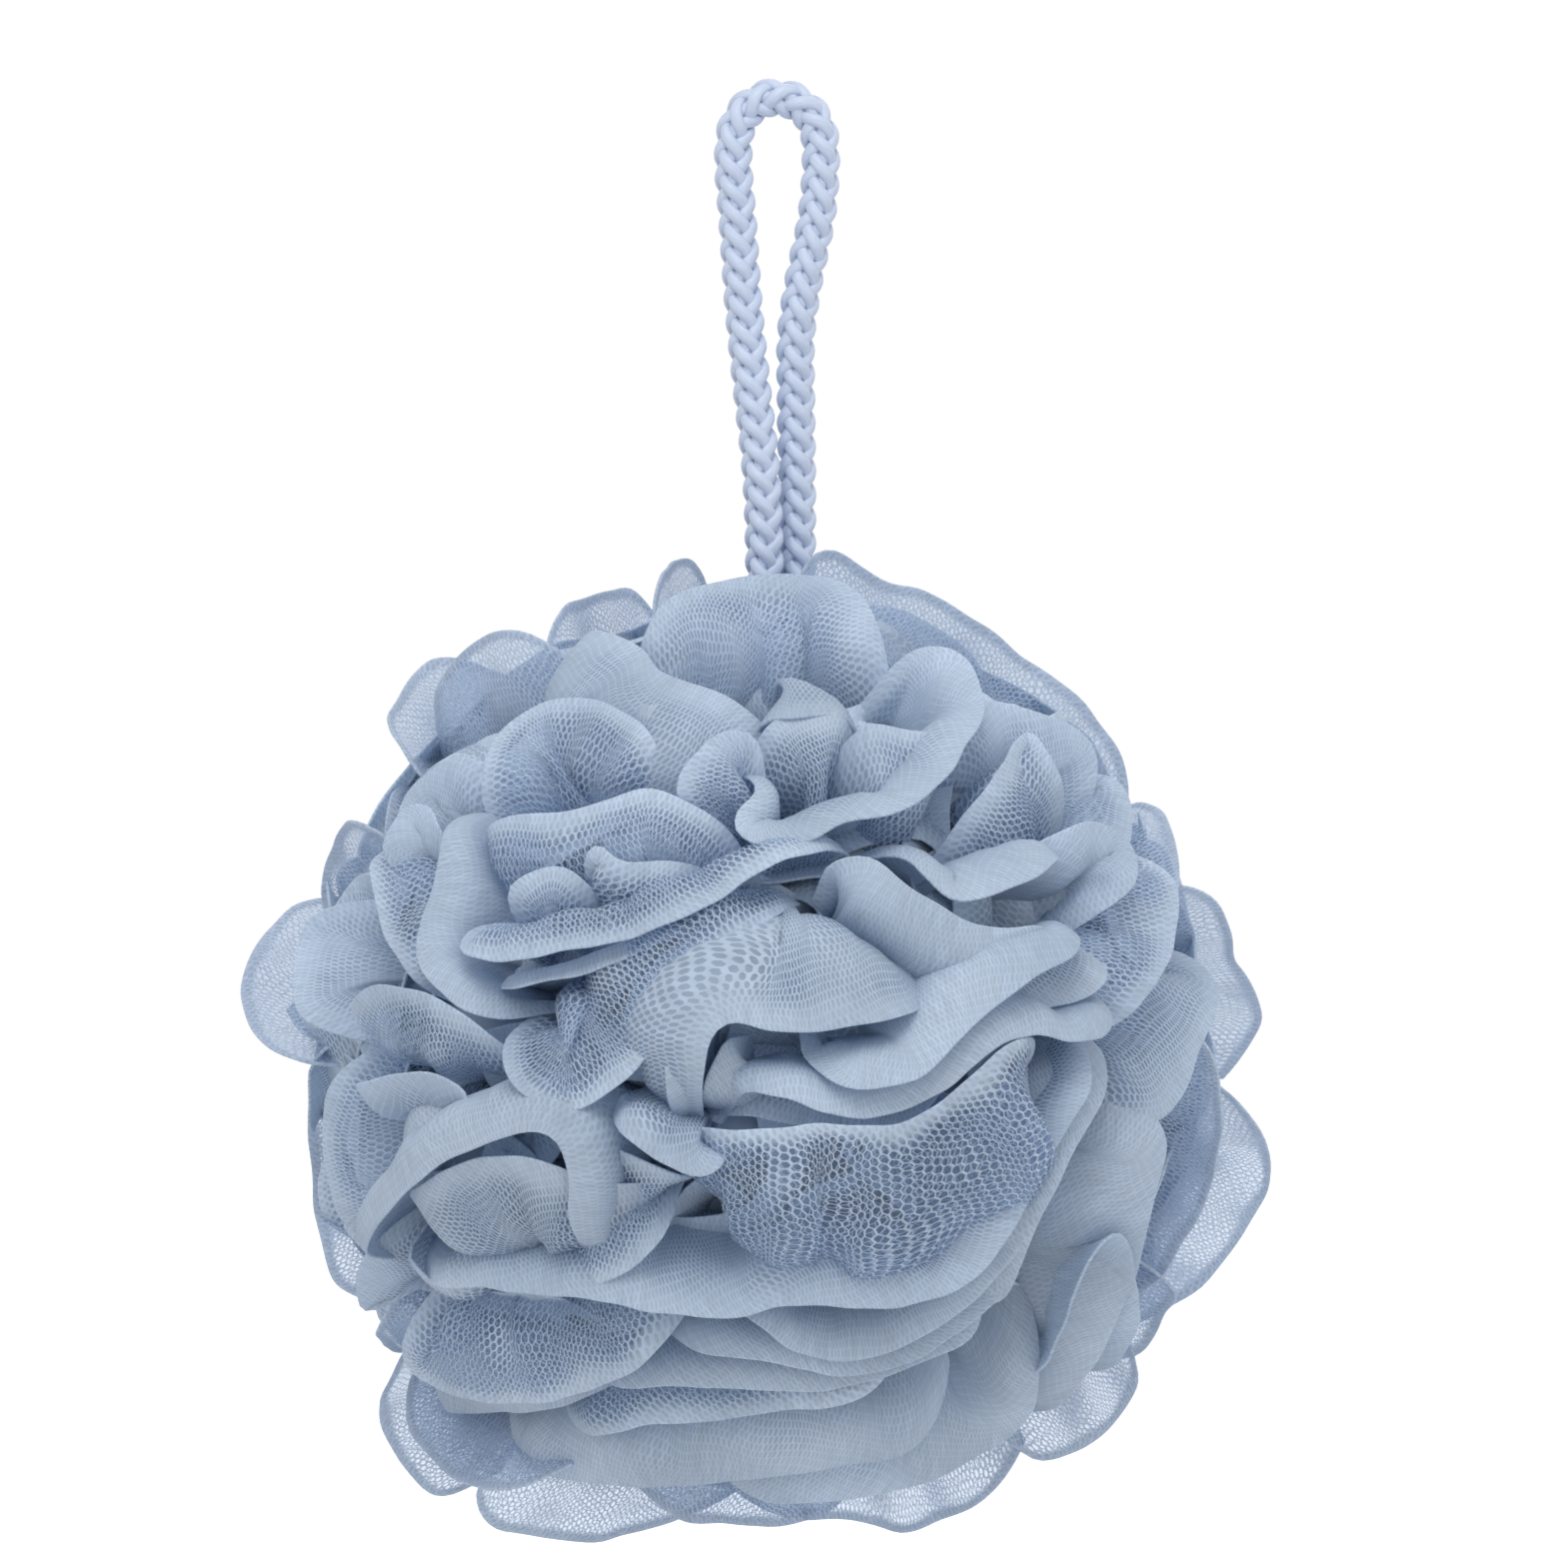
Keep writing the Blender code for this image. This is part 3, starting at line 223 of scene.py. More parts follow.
cordRun = dict(
    diameter=4.6,
    pitch=2.8,                   # one stitch of the braid along the cord
    strands=8,
    mid=1.39,                    # strand middles stand this far from the cord's middle, +- the rise
    rise=0.34,
    strandWide=0.76,
    strandThick=0.57,
    core=1.3,
    turned=0.6,                  # turn of the braid about the cord, radians
    step=0.34,                   # mesh spacing along the cord
    lightColour=(0.58, 0.66, 0.82, 1),
    deepColour=(0.50, 0.58, 0.75, 1),
    route=[
        (-1.0, -1.5, -76.0), (-1.1, -1.6, -63.0), (-1.2, -1.5, -50.0), (-1.6, -1.2, -41.0),
        (-2.7, -0.5, -31.0), (-3.6, 0.0, -22.0), (-4.3, 0.0, -12.0), (-4.8, 0.0, -5.0),
        (-4.3, 0.0, -0.8), (-2.4, 0.0, 1.5), (0.3, 0.0, 2.3), (3.0, 0.0, 1.4),
        (4.9, 0.0, -0.9), (5.4, 0.0, -4.8), (4.9, 0.0, -11.5), (3.4, 0.1, -19.0),
        (2.5, 0.4, -25.5), (2.5, 1.2, -33.0), (2.6, 1.7, -42.0), (2.6, 2.0, -51.0),
        (2.7, 2.0, -64.0), (2.8, 1.8, -76.0),
    ],
)

camera = dict(distance=1600.0, middle=(1.1, 0.0, -77.6), frameWidth=182.4)

lights = dict(
    world=0.70,
    key=dict(place=(-0.14, -0.75, 0.95), size=0.7, power=6.2),
    fill=dict(place=(0.9, -0.7, 0.1), size=0.9, power=1.2),
    back=dict(place=(0.3, 0.9, 0.6), size=0.8, power=2.5),
)


# Even stations along a smooth curve through the points: each span is the cubic
# 0.5 (2b + (c - a) t + (2a - 5b + 4c - d) t^2 + (3b - 3c + d - a) t^3).
def smoothRun(points, stations):
    route = np.asarray(points, dtype=float)
    padded = np.vstack((2 * route[0] - route[1], route, 2 * route[-1] - route[-2]))
    spans = len(route) - 1
    place = np.linspace(0, spans, spans * 24 + 1)
    first = np.minimum(place.astype(int), spans - 1)
    t = (place - first)[:, None]
    a, b, c, d = (padded[first + k] for k in range(4))
    fine = 0.5 * (2 * b + (c - a) * t + (2 * a - 5 * b + 4 * c - d) * t**2 + (3 * b - 3 * c + d - a) * t**3)
    run = np.concatenate(([0], np.cumsum(np.linalg.norm(np.diff(fine, axis=0), axis=1))))
    even = np.linspace(0, run[-1], stations)
    return np.column_stack([np.interp(even, run, fine[:, k]) for k in range(fine.shape[1])])


def runLength(points):
    return float(np.linalg.norm(np.diff(points, axis=0), axis=1).sum())


def unit(vectors):
    return vectors / np.maximum(np.linalg.norm(vectors, axis=-1, keepdims=True), 1e-9)


# Soft waves along a hem: the sum of three sines with drawn lengths and phases.
def softWaves(run, draw, longest, height):
    total = np.zeros_like(run)
    for share in (1.0, 0.55, 0.3):
        length = longest * share * (0.8 + 0.4 * draw.random())
        total += share * np.sin(2 * np.pi * (run / length + draw.random()))
    return height * total


# Soft patches over a sheet: the mean of four plane waves with drawn directions, all about as long.
def patches(uv, draw, size):
    total = np.zeros(uv.shape[:-1])
    for turn in (0.0, 0.8, 1.6, 2.4):
        length = size * (0.8 + 0.5 * draw.random())
        way = turn + 0.5 * draw.random()
        reach = uv[..., 0] * math.cos(way) + uv[..., 1] * math.sin(way)
        total += np.sin(2 * np.pi * (reach / length + draw.random()))
    return total / 2.4


# One fold of the double net. The hem H(u) lies on the ball. Row by row the sheet steps by
# ds (side sin a - out cos a), with a = lean / (1 + (s / lie)^4), and the two layers stand at
# +-h(s) from it along its normal, h = r sqrt(1 - (1 - s / r)^2) at the rolled hem, then easing to the gap.
def foldGrid(hem, lean, lie, tuck, draw, step):
    half = np.array(ball["half"])
    coarse = smoothRun(hem * half, 60)
    stations = max(8, int(runLength(coarse) / step) + 1)
    row = smoothRun(hem * half, stations)
    run = np.linspace(0, runLength(row), stations)
    nearEnd = np.clip(np.minimum(run, run[-1] - run) / min(netRun["tuckLength"], 0.3 * run[-1]), 0, 1)
    row = row * (1 - tuck * (1 - nearEnd) ** 2)[:, None]
    ahead = unit(np.gradient(row, axis=0))
    out = unit(row)
    side = unit(np.cross(out, ahead))
    row = row + side * softWaves(run, draw, 22, netRun["waveHeight"])[:, None]
    row = row + out * softWaves(run, draw, 30, netRun["waveHeight"])[:, None]
    ahead = unit(np.gradient(row, axis=0))
    tip = netRun["hemRadius"]
    depth = (np.linalg.norm(hem, axis=1).max() - ball["heart"]) * half[0] + 3
    deep = np.arange(1, int((depth + lie) / step) + 1) * step + tip
    fromHem = np.concatenate(([0.0, 0.08 * tip, 0.3 * tip, 0.65 * tip, 1.1 * tip], deep + 0.3))
    taper = np.sin(np.pi * np.linspace(0.06, 0.94, stations)) ** 0.75
    leanHere = math.radians(lean) * (1 + softWaves(run, draw, 26, 0.06))
    lieHere = lie * taper * (1 + softWaves(run, draw, 24, 0.06))
    rows = [row]
    for k in range(1, len(fromHem)):
        out = unit(row)
        side = unit(np.cross(out, ahead))
        gone = (fromHem[k] + fromHem[k - 1]) / 2
        angle = (leanHere / (1 + (gone / lieHere) ** 4))[:, None]
        row = row + (fromHem[k] - fromHem[k - 1]) * (side * np.sin(angle) - out * np.cos(angle))
        rows.append(row)
    sheet = np.array(rows)
    normal = unit(np.cross(np.gradient(sheet, axis=1), np.gradient(sheet, axis=0)))
    s = fromHem[:, None]
    grown = np.clip(s / 16, 0, 1) ** 1.2
    pleat = netRun["pleatHeight"] * (0.25 + grown) * np.sin(
        2 * np.pi * (run[None, :] / netRun["pleatWidth"] + 0.35 * np.sin(s / 6 + 6 * draw.random()))
        + softWaves(run, draw, 31, 1.2)[None, :])
    sheet = sheet + normal * (pleat * np.clip(s / 4, 0, 1))[..., None]
    rolled = tip * np.sqrt(np.clip(1 - (1 - np.clip(s / tip, 0, 1)) ** 2, 0, 1))
    settle = np.clip((s - tip) / 5, 0, 1)
    air = netRun["layerGap"] * (1 + 0.6 * softWaves(run, draw, 17, 0.5)[None, :] * grown)
    h = rolled * (1 - settle) + np.maximum(air, 0.15) * settle
    front = sheet + normal * h[..., None]
    back = sheet - normal * h[..., None]
    grid = np.concatenate((back[:0:-1], front), axis=0)
    lay = np.concatenate((-fromHem[:0:-1], fromHem))
    uv = np.stack(np.broadcast_arrays(run[None, :], lay[:, None]), axis=-1)
    return grid, uv


def gridFaces(rows, columns):
    index = np.arange(rows * columns).reshape(rows, columns)
    return np.stack((index[:-1, :-1], index[:-1, 1:], index[1:, 1:], index[1:, :-1]), axis=-1).reshape(-1, 4)


def meshObject(name, verts, faces, uv=None, values=None):
    mesh = bpy.data.meshes.new(name)
    mesh.from_pydata((verts / 1000).tolist(), [], faces if isinstance(faces, list) else faces.tolist())
    mesh.shade_smooth()
    if uv is not None:
        layer = mesh.uv_layers.new(name="lay")
        loops = np.empty(len(mesh.loops), dtype=np.int32)
        mesh.loops.foreach_get("vertex_index", loops)
        layer.data.foreach_set("uv", (uv[loops] / 100).ravel().astype(np.float32))
    for key, value in (values or {}).items():
        attribute = mesh.attributes.new(key, "FLOAT", "POINT")
        attribute.data.foreach_set("value", value.astype(np.float32))
    made = bpy.data.objects.new(name, mesh)
    bpy.context.scene.collection.objects.link(made)
    return made


def onBall(height, hem):
    x, z = np.array(hem, dtype=float).T
    across, up = x / ball["half"][0], z / ball["half"][2]
    inside = np.maximum(height**2 - across**2 - up**2, 0)
    return np.column_stack((across, -np.sqrt(inside), up))


def onRim(setBack, hem):
    x, z = np.array(hem, dtype=float).T
    turn = np.linspace(-0.5, 0.5, len(x)) * (1 if setBack >= 0 else -1)
    y = setBack + netRun["rimSwing"] * np.sin(np.pi * turn)
    return np.column_stack((x / ball["half"][0], y / ball["half"][1], z / ball["half"][2]))


# A hem that sways about a direction d of the ball: d + a t ahead + b sin(1.5 pi t + phase) aside.
def swayingHem(middle, heading, length, sway, height, phase):
    out = middle / np.linalg.norm(middle)
    along = unit(np.cross(out, (0.0, 0.0, 1.0)))
    across = np.cross(out, along)
    ahead = math.cos(heading) * along + math.sin(heading) * across
    aside = np.cross(out, ahead)
    t = np.linspace(-1, 1, 11)[:, None]
    steps = out + ahead * t * length + aside * sway * np.sin(math.pi * 1.5 * t + phase)
    return unit(steps) * height * (1 - 0.10 * t**4)


def netPiece(name, folds, step, tuck, opensOver, shutsAfter, seed, material):
    verts, faces, uvs, gapes, tones = [], [], [], [], []
    start = 0
    draw = np.random.default_rng(seed)
    for hem, lean, lie, gape in folds:
        grid, uv = foldGrid(hem, lean, lie, tuck, draw, step)
        rows, columns = grid.shape[:2]
        verts.append(grid.reshape(-1, 3) + np.array(ball["middle"]))
        turn = draw.uniform(-0.7, 0.7)
        turned = uv @ np.array(((math.cos(turn), math.sin(turn)), (-math.sin(turn), math.cos(turn))))
        stray = np.stack((patches(uv, draw, 9), patches(uv, draw, 9)), axis=-1)
        closer = (1 + netCell["drawnTogether"] * (1 - gape), 1.0)
        uvs.append(((turned + 0.5 * stray) * closer + draw.random(2) * 40).reshape(-1, 2))
        fromHem = np.abs(uv[..., 1])
        opened = np.clip(fromHem / opensOver - 0.2, 0, 1) * gape * (0.85 + 0.3 * patches(uv, draw, 12))
        opened *= 1 - 0.9 * np.clip((fromHem - shutsAfter) / shutsAfter, 0, 1)
        gapes.append(opened.ravel())
        tones.append((0.35 + 0.25 * gape + 0.4 * patches(uv, draw, 22)).ravel())
        faces.append(gridFaces(rows, columns) + start)
        start += rows * columns
    verts, faces = np.concatenate(verts), np.concatenate(faces)
    made = meshObject(name, verts, faces, np.concatenate(uvs),
                      {"gape": np.concatenate(gapes), "tone": np.clip(np.concatenate(tones), 0, 1)})
    made.data.materials.append(material)
    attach(made, "root")
    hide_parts("netting")
    return made


def nodeMaker(material):
    tree = material.node_tree

    def make(kind, *inputs, **settings):
        node = tree.nodes.new(kind)
        for key, value in settings.items():
            setattr(node, key, value)
        for k, source in enumerate(inputs):
            if source is None:
                continue
            if isinstance(source, (int, float, tuple)):
                node.inputs[k].default_value = source
            else:
                tree.links.new(source, node.inputs[k])
        return node

    def maths(operation, *inputs):
        return make("ShaderNodeMath", *inputs, operation=operation).outputs[0]

    return make, maths, tree


# The net, opaque where clear is 0. Strands run away from the hem, even ones at 2n + w and odd ones at
# 2n + 1 - w, with w = clip(0.8 cos(2 pi along), -0.5, 0.5), so that neighbours touch by turns and leave
# long six-sided cells.
def makeNetMaterial(name, clear, lightColour, deepColour):
    material = bpy.data.materials.new(name)
    material.use_nodes = True
    make, maths, tree = nodeMaker(material)
    shader = tree.nodes["Principled BSDF"]
    lay = make("ShaderNodeUVMap", uv_map="lay").outputs[0]
    parts = make("ShaderNodeSeparateXYZ", lay)
    gape = make("ShaderNodeAttribute", attribute_name="gape").outputs["Fac"]
    tone = make("ShaderNodeAttribute", attribute_name="tone").outputs["Fac"]
    across = maths("MULTIPLY", parts.outputs[0], 200.0 / netCell["width"])
    along = maths("MULTIPLY", parts.outputs[1], 100.0 / netCell["length"])
    wave = maths("MULTIPLY", maths("COSINE", maths("MULTIPLY", along, 2 * math.pi)), 0.8)
    swing = make("ShaderNodeClamp", wave, -0.5, 0.5).outputs[0]
    evenPlace = maths("FRACT", maths("MULTIPLY", maths("SUBTRACT", across, swing), 0.5))
    oddPlace = maths("FRACT", maths("MULTIPLY", maths("ADD", across, swing), 0.5))
    toEven = maths("SUBTRACT", 0.5, maths("ABSOLUTE", maths("SUBTRACT", evenPlace, 0.5)))
    toOdd = maths("ABSOLUTE", maths("SUBTRACT", oddPlace, 0.5))
    near = maths("MINIMUM", toEven, toOdd)
    wide = make("ShaderNodeMapRange", gape, 0.0, 0.9, netCell["closedStrand"], netCell["strand"]).outputs[0]
    edge = maths("SUBTRACT", near, wide)
    hole = make("ShaderNodeMapRange", edge, -0.06, 0.06, 0.0, 1.0, interpolation_type="SMOOTHSTEP").outputs[0]
    faint = make("ShaderNodeMapRange", gape, 0.05, 0.7, netCell["shutRelief"], 1.0,
                 interpolation_type="SMOOTHSTEP").outputs[0]
    holes = maths("MULTIPLY", hole, faint)
    body = make("ShaderNodeMix", tone, data_type="RGBA")
    body.inputs[6].default_value = deepColour
    body.inputs[7].default_value = lightColour
    stretched = make("ShaderNodeMapping", lay)
    stretched.inputs["Scale"].default_value = (170.0, 25.0, 1.0)
    fibre = make("ShaderNodeTexNoise", stretched.outputs[0], None, 1.0, 2.0,
                 noise_dimensions="2D").outputs["Fac"]
    pale = make("ShaderNodeMapRange", fibre, 0.3, 0.7, 0.90, 1.06).outputs[0]
    fibred = make("ShaderNodeVectorMath", body.outputs[2], None, None, operation="SCALE")
    tree.links.new(pale, fibred.inputs["Scale"])
    # The holes are painted towards the hole shade colour, as painted shade of the darker layers behind them.
    dim = make("ShaderNodeMix", holes, data_type="RGBA")
    tree.links.new(fibred.outputs[0], dim.inputs[6])
    dim.inputs[7].default_value = netCell["holeShadeColour"]
    tree.links.new(dim.outputs[2], shader.inputs["Base Color"])
    if clear:
        seeThrough = make("ShaderNodeMapRange", gape, 0.10, 0.7, 0.0, netCell["holeClear"],
                          interpolation_type="SMOOTHSTEP").outputs[0]
        solid = maths("SUBTRACT", 1.0, maths("MULTIPLY", hole, seeThrough))
        through = make("ShaderNodeBsdfTranslucent", dim.outputs[2])
        cloth = make("ShaderNodeMixShader", netCell["through"], shader.outputs[0], through.outputs[0])
        veil = make("ShaderNodeMapRange", gape, 0.05, 0.6, 1.0, 1.0 - clear).outputs[0]
        seen = make("ShaderNodeMixShader", maths("MULTIPLY", solid, veil),
                    make("ShaderNodeBsdfTransparent", (0.90, 0.94, 1.0, 1)).outputs[0], cloth.outputs[0])
        tree.links.new(seen.outputs[0], tree.nodes["Material Output"].inputs["Surface"])
    bump = make("ShaderNodeBump", 0.35, netCell["relief"])
    tree.links.new(holes, bump.inputs["Height"])
    bump.invert = True
    tree.links.new(bump.outputs[0], shader.inputs["Normal"])
    shader.inputs["Roughness"].default_value = 0.55
    shader.inputs["Specular IOR Level"].default_value = 0.3
    return material


def makeCordMaterial():
    material = bpy.data.materials.new("braidedCord")
    material.use_nodes = True
    make, _, tree = nodeMaker(material)
    shader = tree.nodes["Principled BSDF"]
    lay = make("ShaderNodeUVMap", uv_map="lay").outputs[0]
    drawn = make("ShaderNodeMapping", lay)
    drawn.inputs["Scale"].default_value = (900.0, 60.0, 1.0)
    fibre = make("ShaderNodeTexNoise", drawn.outputs[0], None, 1.0, 2.0, noise_dimensions="2D").outputs["Fac"]
    share = make("ShaderNodeMapRange", fibre, 0.3, 0.7, 0.0, 1.0).outputs[0]
    mix = make("ShaderNodeMix", share, data_type="RGBA")
    mix.inputs[6].default_value = cordRun["deepColour"]
    mix.inputs[7].default_value = cordRun["lightColour"]
    tree.links.new(mix.outputs[2], shader.inputs["Base Color"])
    bump = make("ShaderNodeBump", 0.4, 0.00012)
    tree.links.new(fibre, bump.inputs["Height"])
    tree.links.new(bump.outputs[0], shader.inputs["Normal"])
    shader.inputs["Roughness"].default_value = 0.45
    shader.inputs["Sheen Weight"].default_value = 0.2
    return material


# Moving frame along a path: the side is the path's tangent crossed with a fixed direction.
def pathFrame(path):
    ahead = unit(np.gradient(path, axis=0))
    front = np.tile((0.0, -1.0, 0.0), (len(path), 1))
    front = unit(front - ahead * (front * ahead).sum(axis=1)[:, None])
    return front, np.cross(ahead, front)


# Skin of a strand along a line: c + a cos(q) side + b sin(q) out, closed at both ends.
def strandSkin(line, out, wide, thick, around):
    ahead = unit(np.gradient(line, axis=0))
    side = unit(np.cross(ahead, out))
    lift = np.cross(side, ahead)
    q = np.linspace(0, 2 * np.pi, around, endpoint=False)[None, :, None]
    verts = line[:, None] + wide * np.cos(q) * side[:, None] + thick * np.sin(q) * lift[:, None]
    run = np.linspace(0, runLength(line), len(line))
    uv = np.stack(np.broadcast_arrays(q[..., 0] * wide, run[:, None]), axis=-1)
    index = np.arange(len(line) * around).reshape(len(line), around)
    after = np.roll(index, -1, axis=1)
    faces = np.stack((index[:-1], index[1:], after[1:], after[:-1]), axis=-1).reshape(-1, 4).tolist()
    faces += [index[0].tolist(), index[-1, ::-1].tolist()]
    return verts.reshape(-1, 3), faces, uv.reshape(-1, 2)


# Round braid: half the strands turn one way and half the other, at the angle q = +-2 pi s / turn + q0,
# and stand r = mid +- rise sin(2 q) from the middle, so each passes over two and under two.
def makeCord():
    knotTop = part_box("cord_knot")[1][2] * 1000
    start, end = cordRun["route"][0], cordRun["route"][-1]
    seat = knotTop + 0.3
    route = [(start[0], start[1], seat)] + cordRun["route"] + [(end[0], end[1], seat)]
    stations = int(runLength(smoothRun(route, 400)) / cordRun["step"]) + 1
    path = smoothRun(route, stations)
    front, side = pathFrame(path)
    run = np.linspace(0, runLength(path), stations)
    each = cordRun["strands"] // 2
    lines = []
    for way in (1, -1):
        for k in range(each):
            q = way * 2 * np.pi * run / (cordRun["pitch"] * each) + 2 * np.pi * k / each
            q += 0.0 if way > 0 else np.pi / each
            lifted = np.sin(2 * q)
            q += cordRun["turned"]
            out = front * np.cos(q)[:, None] + side * np.sin(q)[:, None]
            stand = cordRun["mid"] + way * cordRun["rise"] * lifted
            line = path + out * stand[:, None]
            lines.append((line, out, cordRun["strandWide"], cordRun["strandThick"], 12))
    lines.append((path, front, cordRun["core"], cordRun["core"], 16))
    verts, faces, uvs = [], [], []
    start = 0
    for line in lines:
        points, quads, uv = strandSkin(*line)
        verts.append(points)
        uvs.append(uv)
        faces += [[v + start for v in quad] for quad in quads]
        start += len(points)
    cord = meshObject("braidedCord", np.concatenate(verts), faces, np.concatenate(uvs))
    cord.data.materials.append(makeCordMaterial())
    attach(cord, "root")
    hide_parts("hanging_cord")
    print("cord", round(runLength(path)), "mm,", len(faces) * 2, "triangles")


# The middle of the gathers, a rippled share of the ball that shows only deep in the hollows, coloured dark as
# painted shade.
def makeHeart():
    turns, rings = 160, 80
    q = np.linspace(0, 2 * np.pi, turns, endpoint=False)[None, :]
    p = np.linspace(0.02, np.pi - 0.02, rings)[:, None]
    meridians = 0.05 * np.sin(9 * q + 3 * np.sin(3 * p)) * np.sin(p)
    ripple = 1 + meridians + 0.03 * np.sin(17 * p + 4 * np.cos(2 * q))
    way = np.stack((np.sin(p) * np.cos(q), np.sin(p) * np.sin(q), np.cos(p) * np.ones_like(q)), axis=-1)
    verts = way * ripple[..., None] * np.array(ball["half"]) * ball["heart"]
    index = np.arange(turns * rings).reshape(rings, turns)
    after = np.roll(index, -1, axis=1)
    faces = np.stack((index[:-1], index[1:], after[1:], after[:-1]), axis=-1).reshape(-1, 4).tolist()
    faces += [index[0].tolist(), index[-1, ::-1].tolist()]
    mesh = bpy.data.meshes.new("netHeart")
    verts = verts.reshape(-1, 3) + np.array(ball["middle"])
    mesh.from_pydata((verts / 1000).tolist(), [], faces)
    mesh.shade_smooth()
    heart = bpy.data.objects.new("netHeart", mesh)
    bpy.context.scene.collection.objects.link(heart)
    shade = bpy.data.materials.new("netHeartShade")
    shade.use_nodes = True
    make, _, tree = nodeMaker(shade)
    noise = make("ShaderNodeTexNoise", make("ShaderNodeTexCoord").outputs["Object"], None, 300.0, 2.0)
    # Dark blue-greys with a random speckle: painted shade of the deep hollows.
    mix = make("ShaderNodeMix", noise.outputs["Fac"], data_type="RGBA")
    mix.inputs[6].default_value = (0.34, 0.42, 0.54, 1)
    mix.inputs[7].default_value = (0.47, 0.57, 0.70, 1)
    tree.links.new(mix.outputs[2], tree.nodes["Principled BSDF"].inputs["Base Color"])
    mesh.materials.append(shade)
    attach(heart, "root")
    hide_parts("netting")
    print("netHeart", len(faces), "faces")


# Middles of folds spread evenly over the ball: heights z even, each turned on by the golden angle.
def foldSpots(count):
    k = np.arange(count)
    z = 1 - 2 * (k + 0.5) / count
    ring = np.sqrt(1 - z * z)
    turn = k * math.pi * (3 - math.sqrt(5))
    return np.column_stack((ring * np.cos(turn), ring * np.sin(turn), z * 0.985))


# Neighbouring hems run side by side, and turn slowly over the ball.
def hemHeading(way):
    return 1.3 * math.sin(2.4 * way[0] + 1.0) + 1.5 * math.cos(2.2 * way[2] + way[1])


# Folds of the sides and the back, which the part's source has too. They keep within the rim as seen
# from the front.
def backHems():
    draw = np.random.default_rng(backFolds["seed"])
    folds = []
    for way in foldSpots(backFolds["spots"]):
        heading, length, sway, height, phase, lean, sign = draw.random(7)
        if way[1] < backFolds["frontEnd"]:
            continue
        top = min(0.93 + 0.07 * height, backFolds["rimHeight"] / math.hypot(way[0], way[2]))
        turned = hemHeading(way) + 0.7 * (heading - 0.5)
        hem = swayingHem(way, turned, 0.36 + 0.14 * length, 0.07 + 0.08 * sway, top, phase * 2 * math.pi)
        folds.append((hem, (45 + 35 * lean) * (1 if sign < 0.75 else -1), 5 + 6 * sway, 0.45 + 0.55 * phase))
    return folds


# Lower folds that fill the gaps between the others all round.
def underHems():
    draw = np.random.default_rng(backFolds["seed"] + 1)
    folds = []
    for way in foldSpots(backFolds["under"]):
        heading, length, sway, height, phase, lean, sign = draw.random(7)
        low, high = backFolds["underHeights"]
        top = min(low + (high - low) * height, backFolds["rimHeight"] / math.hypot(way[0], way[2]) - 0.03)
        if way[1] < backFolds["frontEnd"]:
            top = low
        turned = hemHeading(way) + 1.0 * (heading - 0.5)
        hem = swayingHem(way, turned, 0.30 + 0.14 * length, 0.07 + 0.08 * sway, top, phase * 2 * math.pi)
        folds.append((hem, (45 + 35 * lean) * (1 if sign < 0.75 else -1), 4 + 5 * sway, 0.45 + 0.55 * phase))
    return folds


def makeNet():
    step, backStep, tuck = netRun["frontStep"], netRun["backStep"], netRun["tuck"]
    opensOver, shutsAfter = netRun["opensOver"], netRun["shutsAfter"]
    outer = makeNetMaterial("netMesh", netCell["clear"], (0.71, 0.81, 0.93, 1), (0.58, 0.68, 0.80, 1))
    # A darker copy of the net colour for the lower folds between the others: painted shade of the hollows
    # they lie in.
    shadedInner = makeNetMaterial("netInnerShaded", 0, (0.56, 0.66, 0.78, 1), (0.46, 0.56, 0.68, 1))
    # The rim petals' copy of the net colour, a little darker than the front: painted shade at the rim.
    veil = makeNetMaterial("netVeilShaded", netCell["clear"], (0.65, 0.74, 0.86, 1), (0.54, 0.63, 0.76, 1))
    rim = [(onRim(back, hem), 8.0 if back > 0 else -14.0, 9.0, 0.9) for back, hem in rimPetals.values()]
    front = [(onBall(height, hem), lean, lie, gape) for height, lean, lie, gape, hem in frontFolds.values()]
    middle = len(front) // 2
    under = underHems()
    half = len(under) // 2
    netPiece("netRim", rim, step, netRun["rimTuck"], netRun["rimOpensOver"], netRun["rimShutsAfter"], 3, veil)
    netPiece("netUpperFront", front[:middle], step, tuck, opensOver, shutsAfter, 4, outer)
    netPiece("netLowerFront", front[middle:], step, tuck, opensOver, shutsAfter, 5, outer)
    netPiece("netBack", backHems(), backStep, tuck, opensOver, shutsAfter, 6, outer)
    netPiece("netUnderUpper", under[:half], backStep, tuck, opensOver, shutsAfter, 7, shadedInner)
    netPiece("netUnderLower", under[half:], backStep, tuck, opensOver, shutsAfter, 8, shadedInner)


def paleMaterial(name, colour):
    material = bpy.data.materials.new(name)
    material.use_nodes = True
    shader = material.node_tree.nodes["Principled BSDF"]
    shader.inputs["Base Color"].default_value = colour
    shader.inputs["Roughness"].default_value = 0.9
    return material


# Pale floor that the camera sees nearly white, with the shadow still on it.
def floorMaterial():
    material = paleMaterial("paleFloor", (0.85, 0.85, 0.85, 1))
    tree = material.node_tree
    shader = tree.nodes["Principled BSDF"]
    shader.inputs["Emission Color"].default_value = (1, 1, 1, 1)
    path = tree.nodes.new("ShaderNodeLightPath")
    glow = tree.nodes.new("ShaderNodeMath")
    glow.operation = "MULTIPLY"
    tree.links.new(path.outputs["Is Camera Ray"], glow.inputs[0])
    glow.inputs[1].default_value = 0.62
    tree.links.new(glow.outputs[0], shader.inputs["Emission Strength"])
    return material


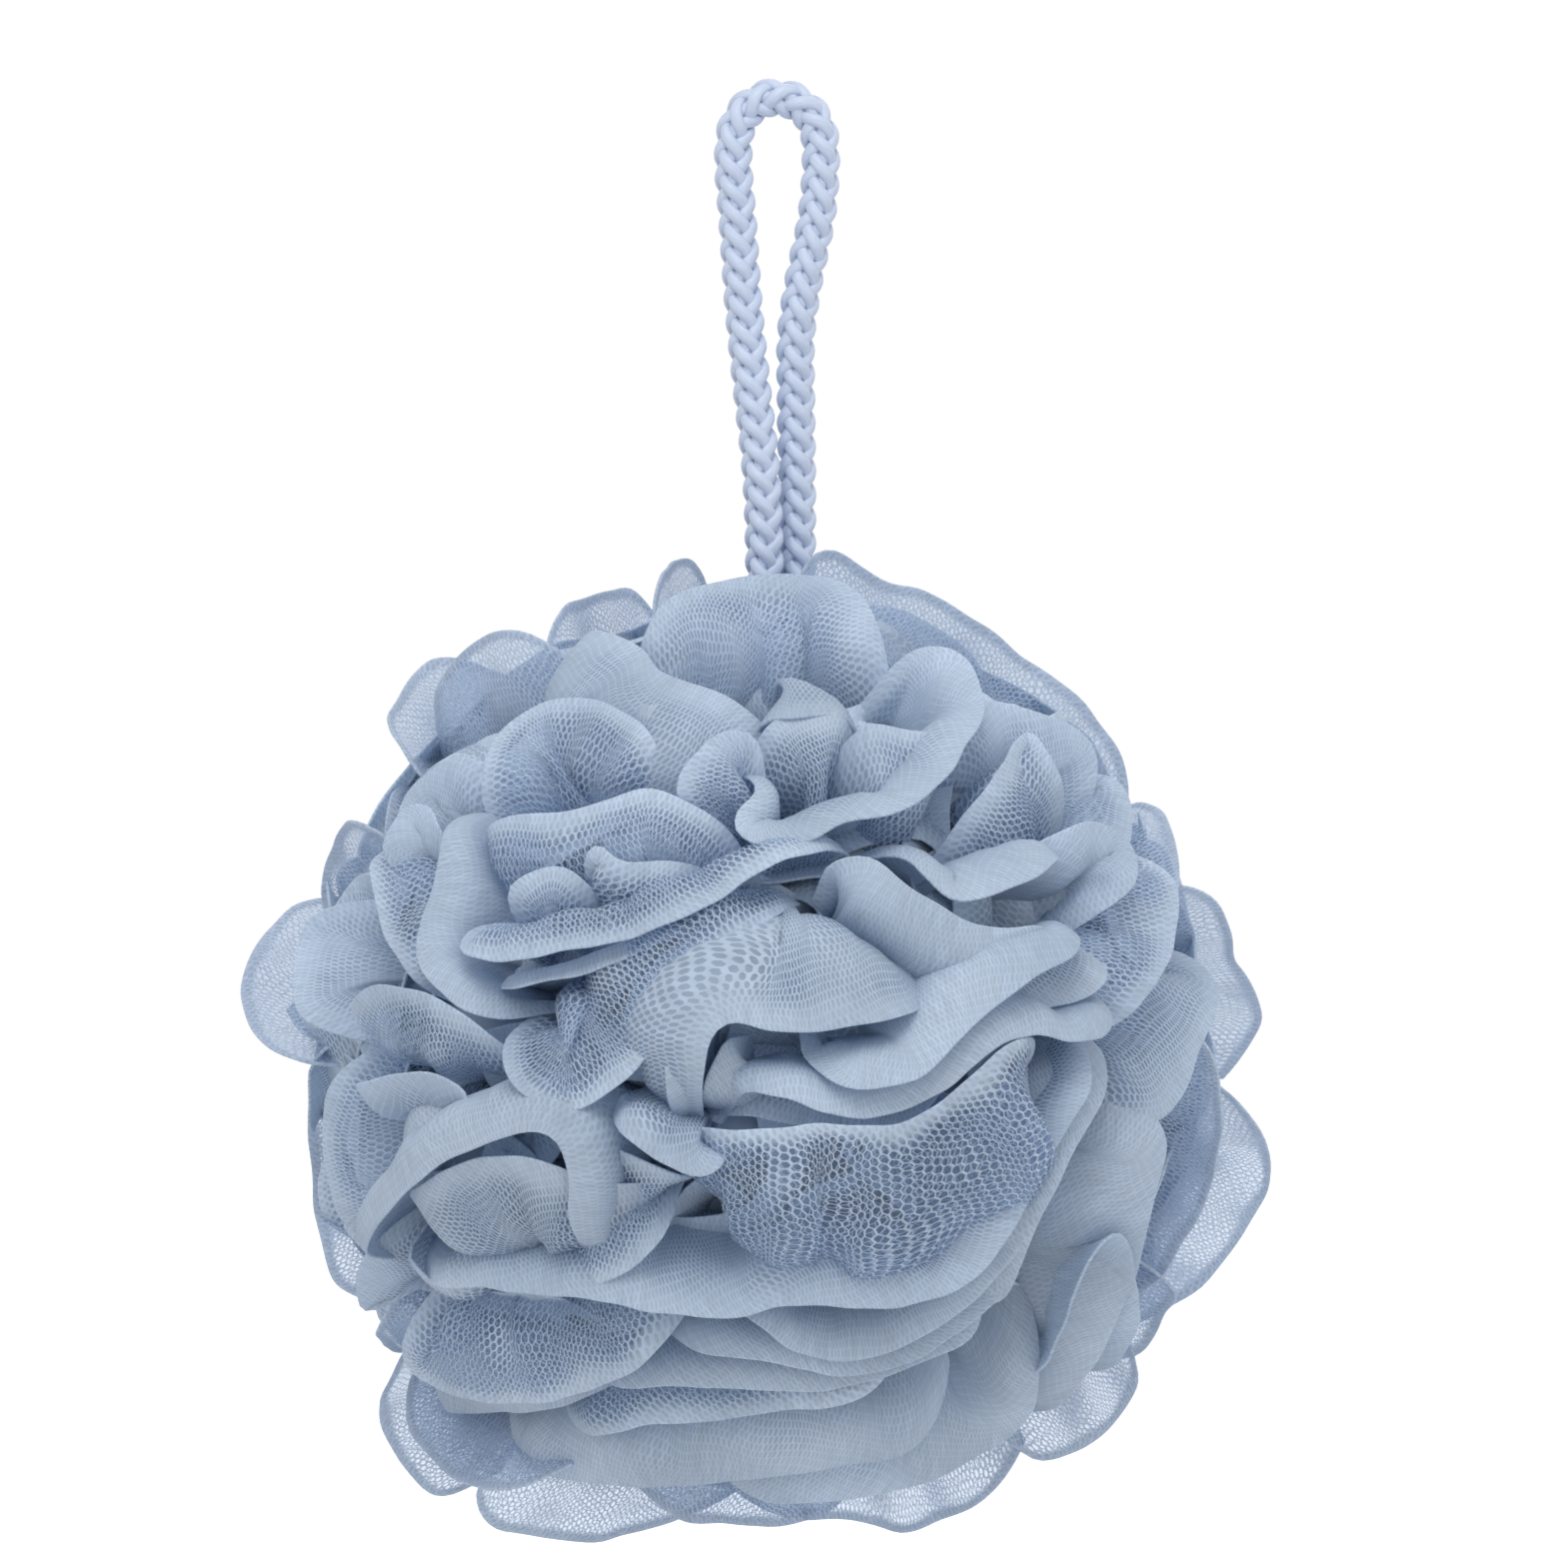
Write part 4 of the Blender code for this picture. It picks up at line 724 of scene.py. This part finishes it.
def makeStage():
    bpy.ops.mesh.primitive_plane_add(size=8, location=(0, 0, -0.225))
    floor = bpy.context.object
    floor.name = "floor"
    floor.data.materials.append(floorMaterial())
    world = bpy.data.worlds.new("studio")
    bpy.context.scene.world = world
    world.use_nodes = True
    tree = world.node_tree
    background = tree.nodes["Background"]
    background.inputs["Color"].default_value = (1, 1, 1, 1)
    path = tree.nodes.new("ShaderNodeLightPath")
    seen = tree.nodes.new("ShaderNodeMath")
    seen.operation = "MAXIMUM"
    tree.links.new(path.outputs["Is Camera Ray"], seen.inputs[0])
    tree.links.new(path.outputs["Is Transmission Ray"], seen.inputs[1])
    strength = tree.nodes.new("ShaderNodeMapRange")
    tree.links.new(seen.outputs[0], strength.inputs["Value"])
    strength.inputs["To Min"].default_value = lights["world"]
    strength.inputs["To Max"].default_value = 1.0
    tree.links.new(strength.outputs[0], background.inputs["Strength"])
    for name in ("key", "fill", "back"):
        setting = lights[name]
        lamp = bpy.data.lights.new(name, "AREA")
        lamp.size = setting["size"]
        lamp.energy = setting["power"]
        made = bpy.data.objects.new(name, lamp)
        bpy.context.scene.collection.objects.link(made)
        place = np.array(setting["place"]) + np.array((0, 0, -0.1))
        made.location = place
        way = np.array((0, 0, -0.108)) - place
        made.rotation_euler = Vector(way).to_track_quat("-Z", "Y").to_euler()


def makeCamera():
    data = bpy.data.cameras.new("camera")
    data.sensor_width = 36.0
    data.lens = data.sensor_width * camera["distance"] / camera["frameWidth"]
    data.clip_end = 20
    made = bpy.data.objects.new("camera", data)
    bpy.context.scene.collection.objects.link(made)
    x, y, z = camera["middle"]
    made.location = (x / 1000, (y - camera["distance"]) / 1000, z / 1000)
    made.rotation_euler = (math.radians(90), 0, 0)
    bpy.context.scene.camera = made


bpy.context.scene.view_settings.view_transform = "Standard"
makeCamera()
makeStage()
makeCord()
makeHeart()
makeNet()

for name in ("cord_knot", "binding_tie"):
    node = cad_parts[name]
    node.data.materials.clear()
    node.data.materials.append(bpy.data.materials["braidedCord"])
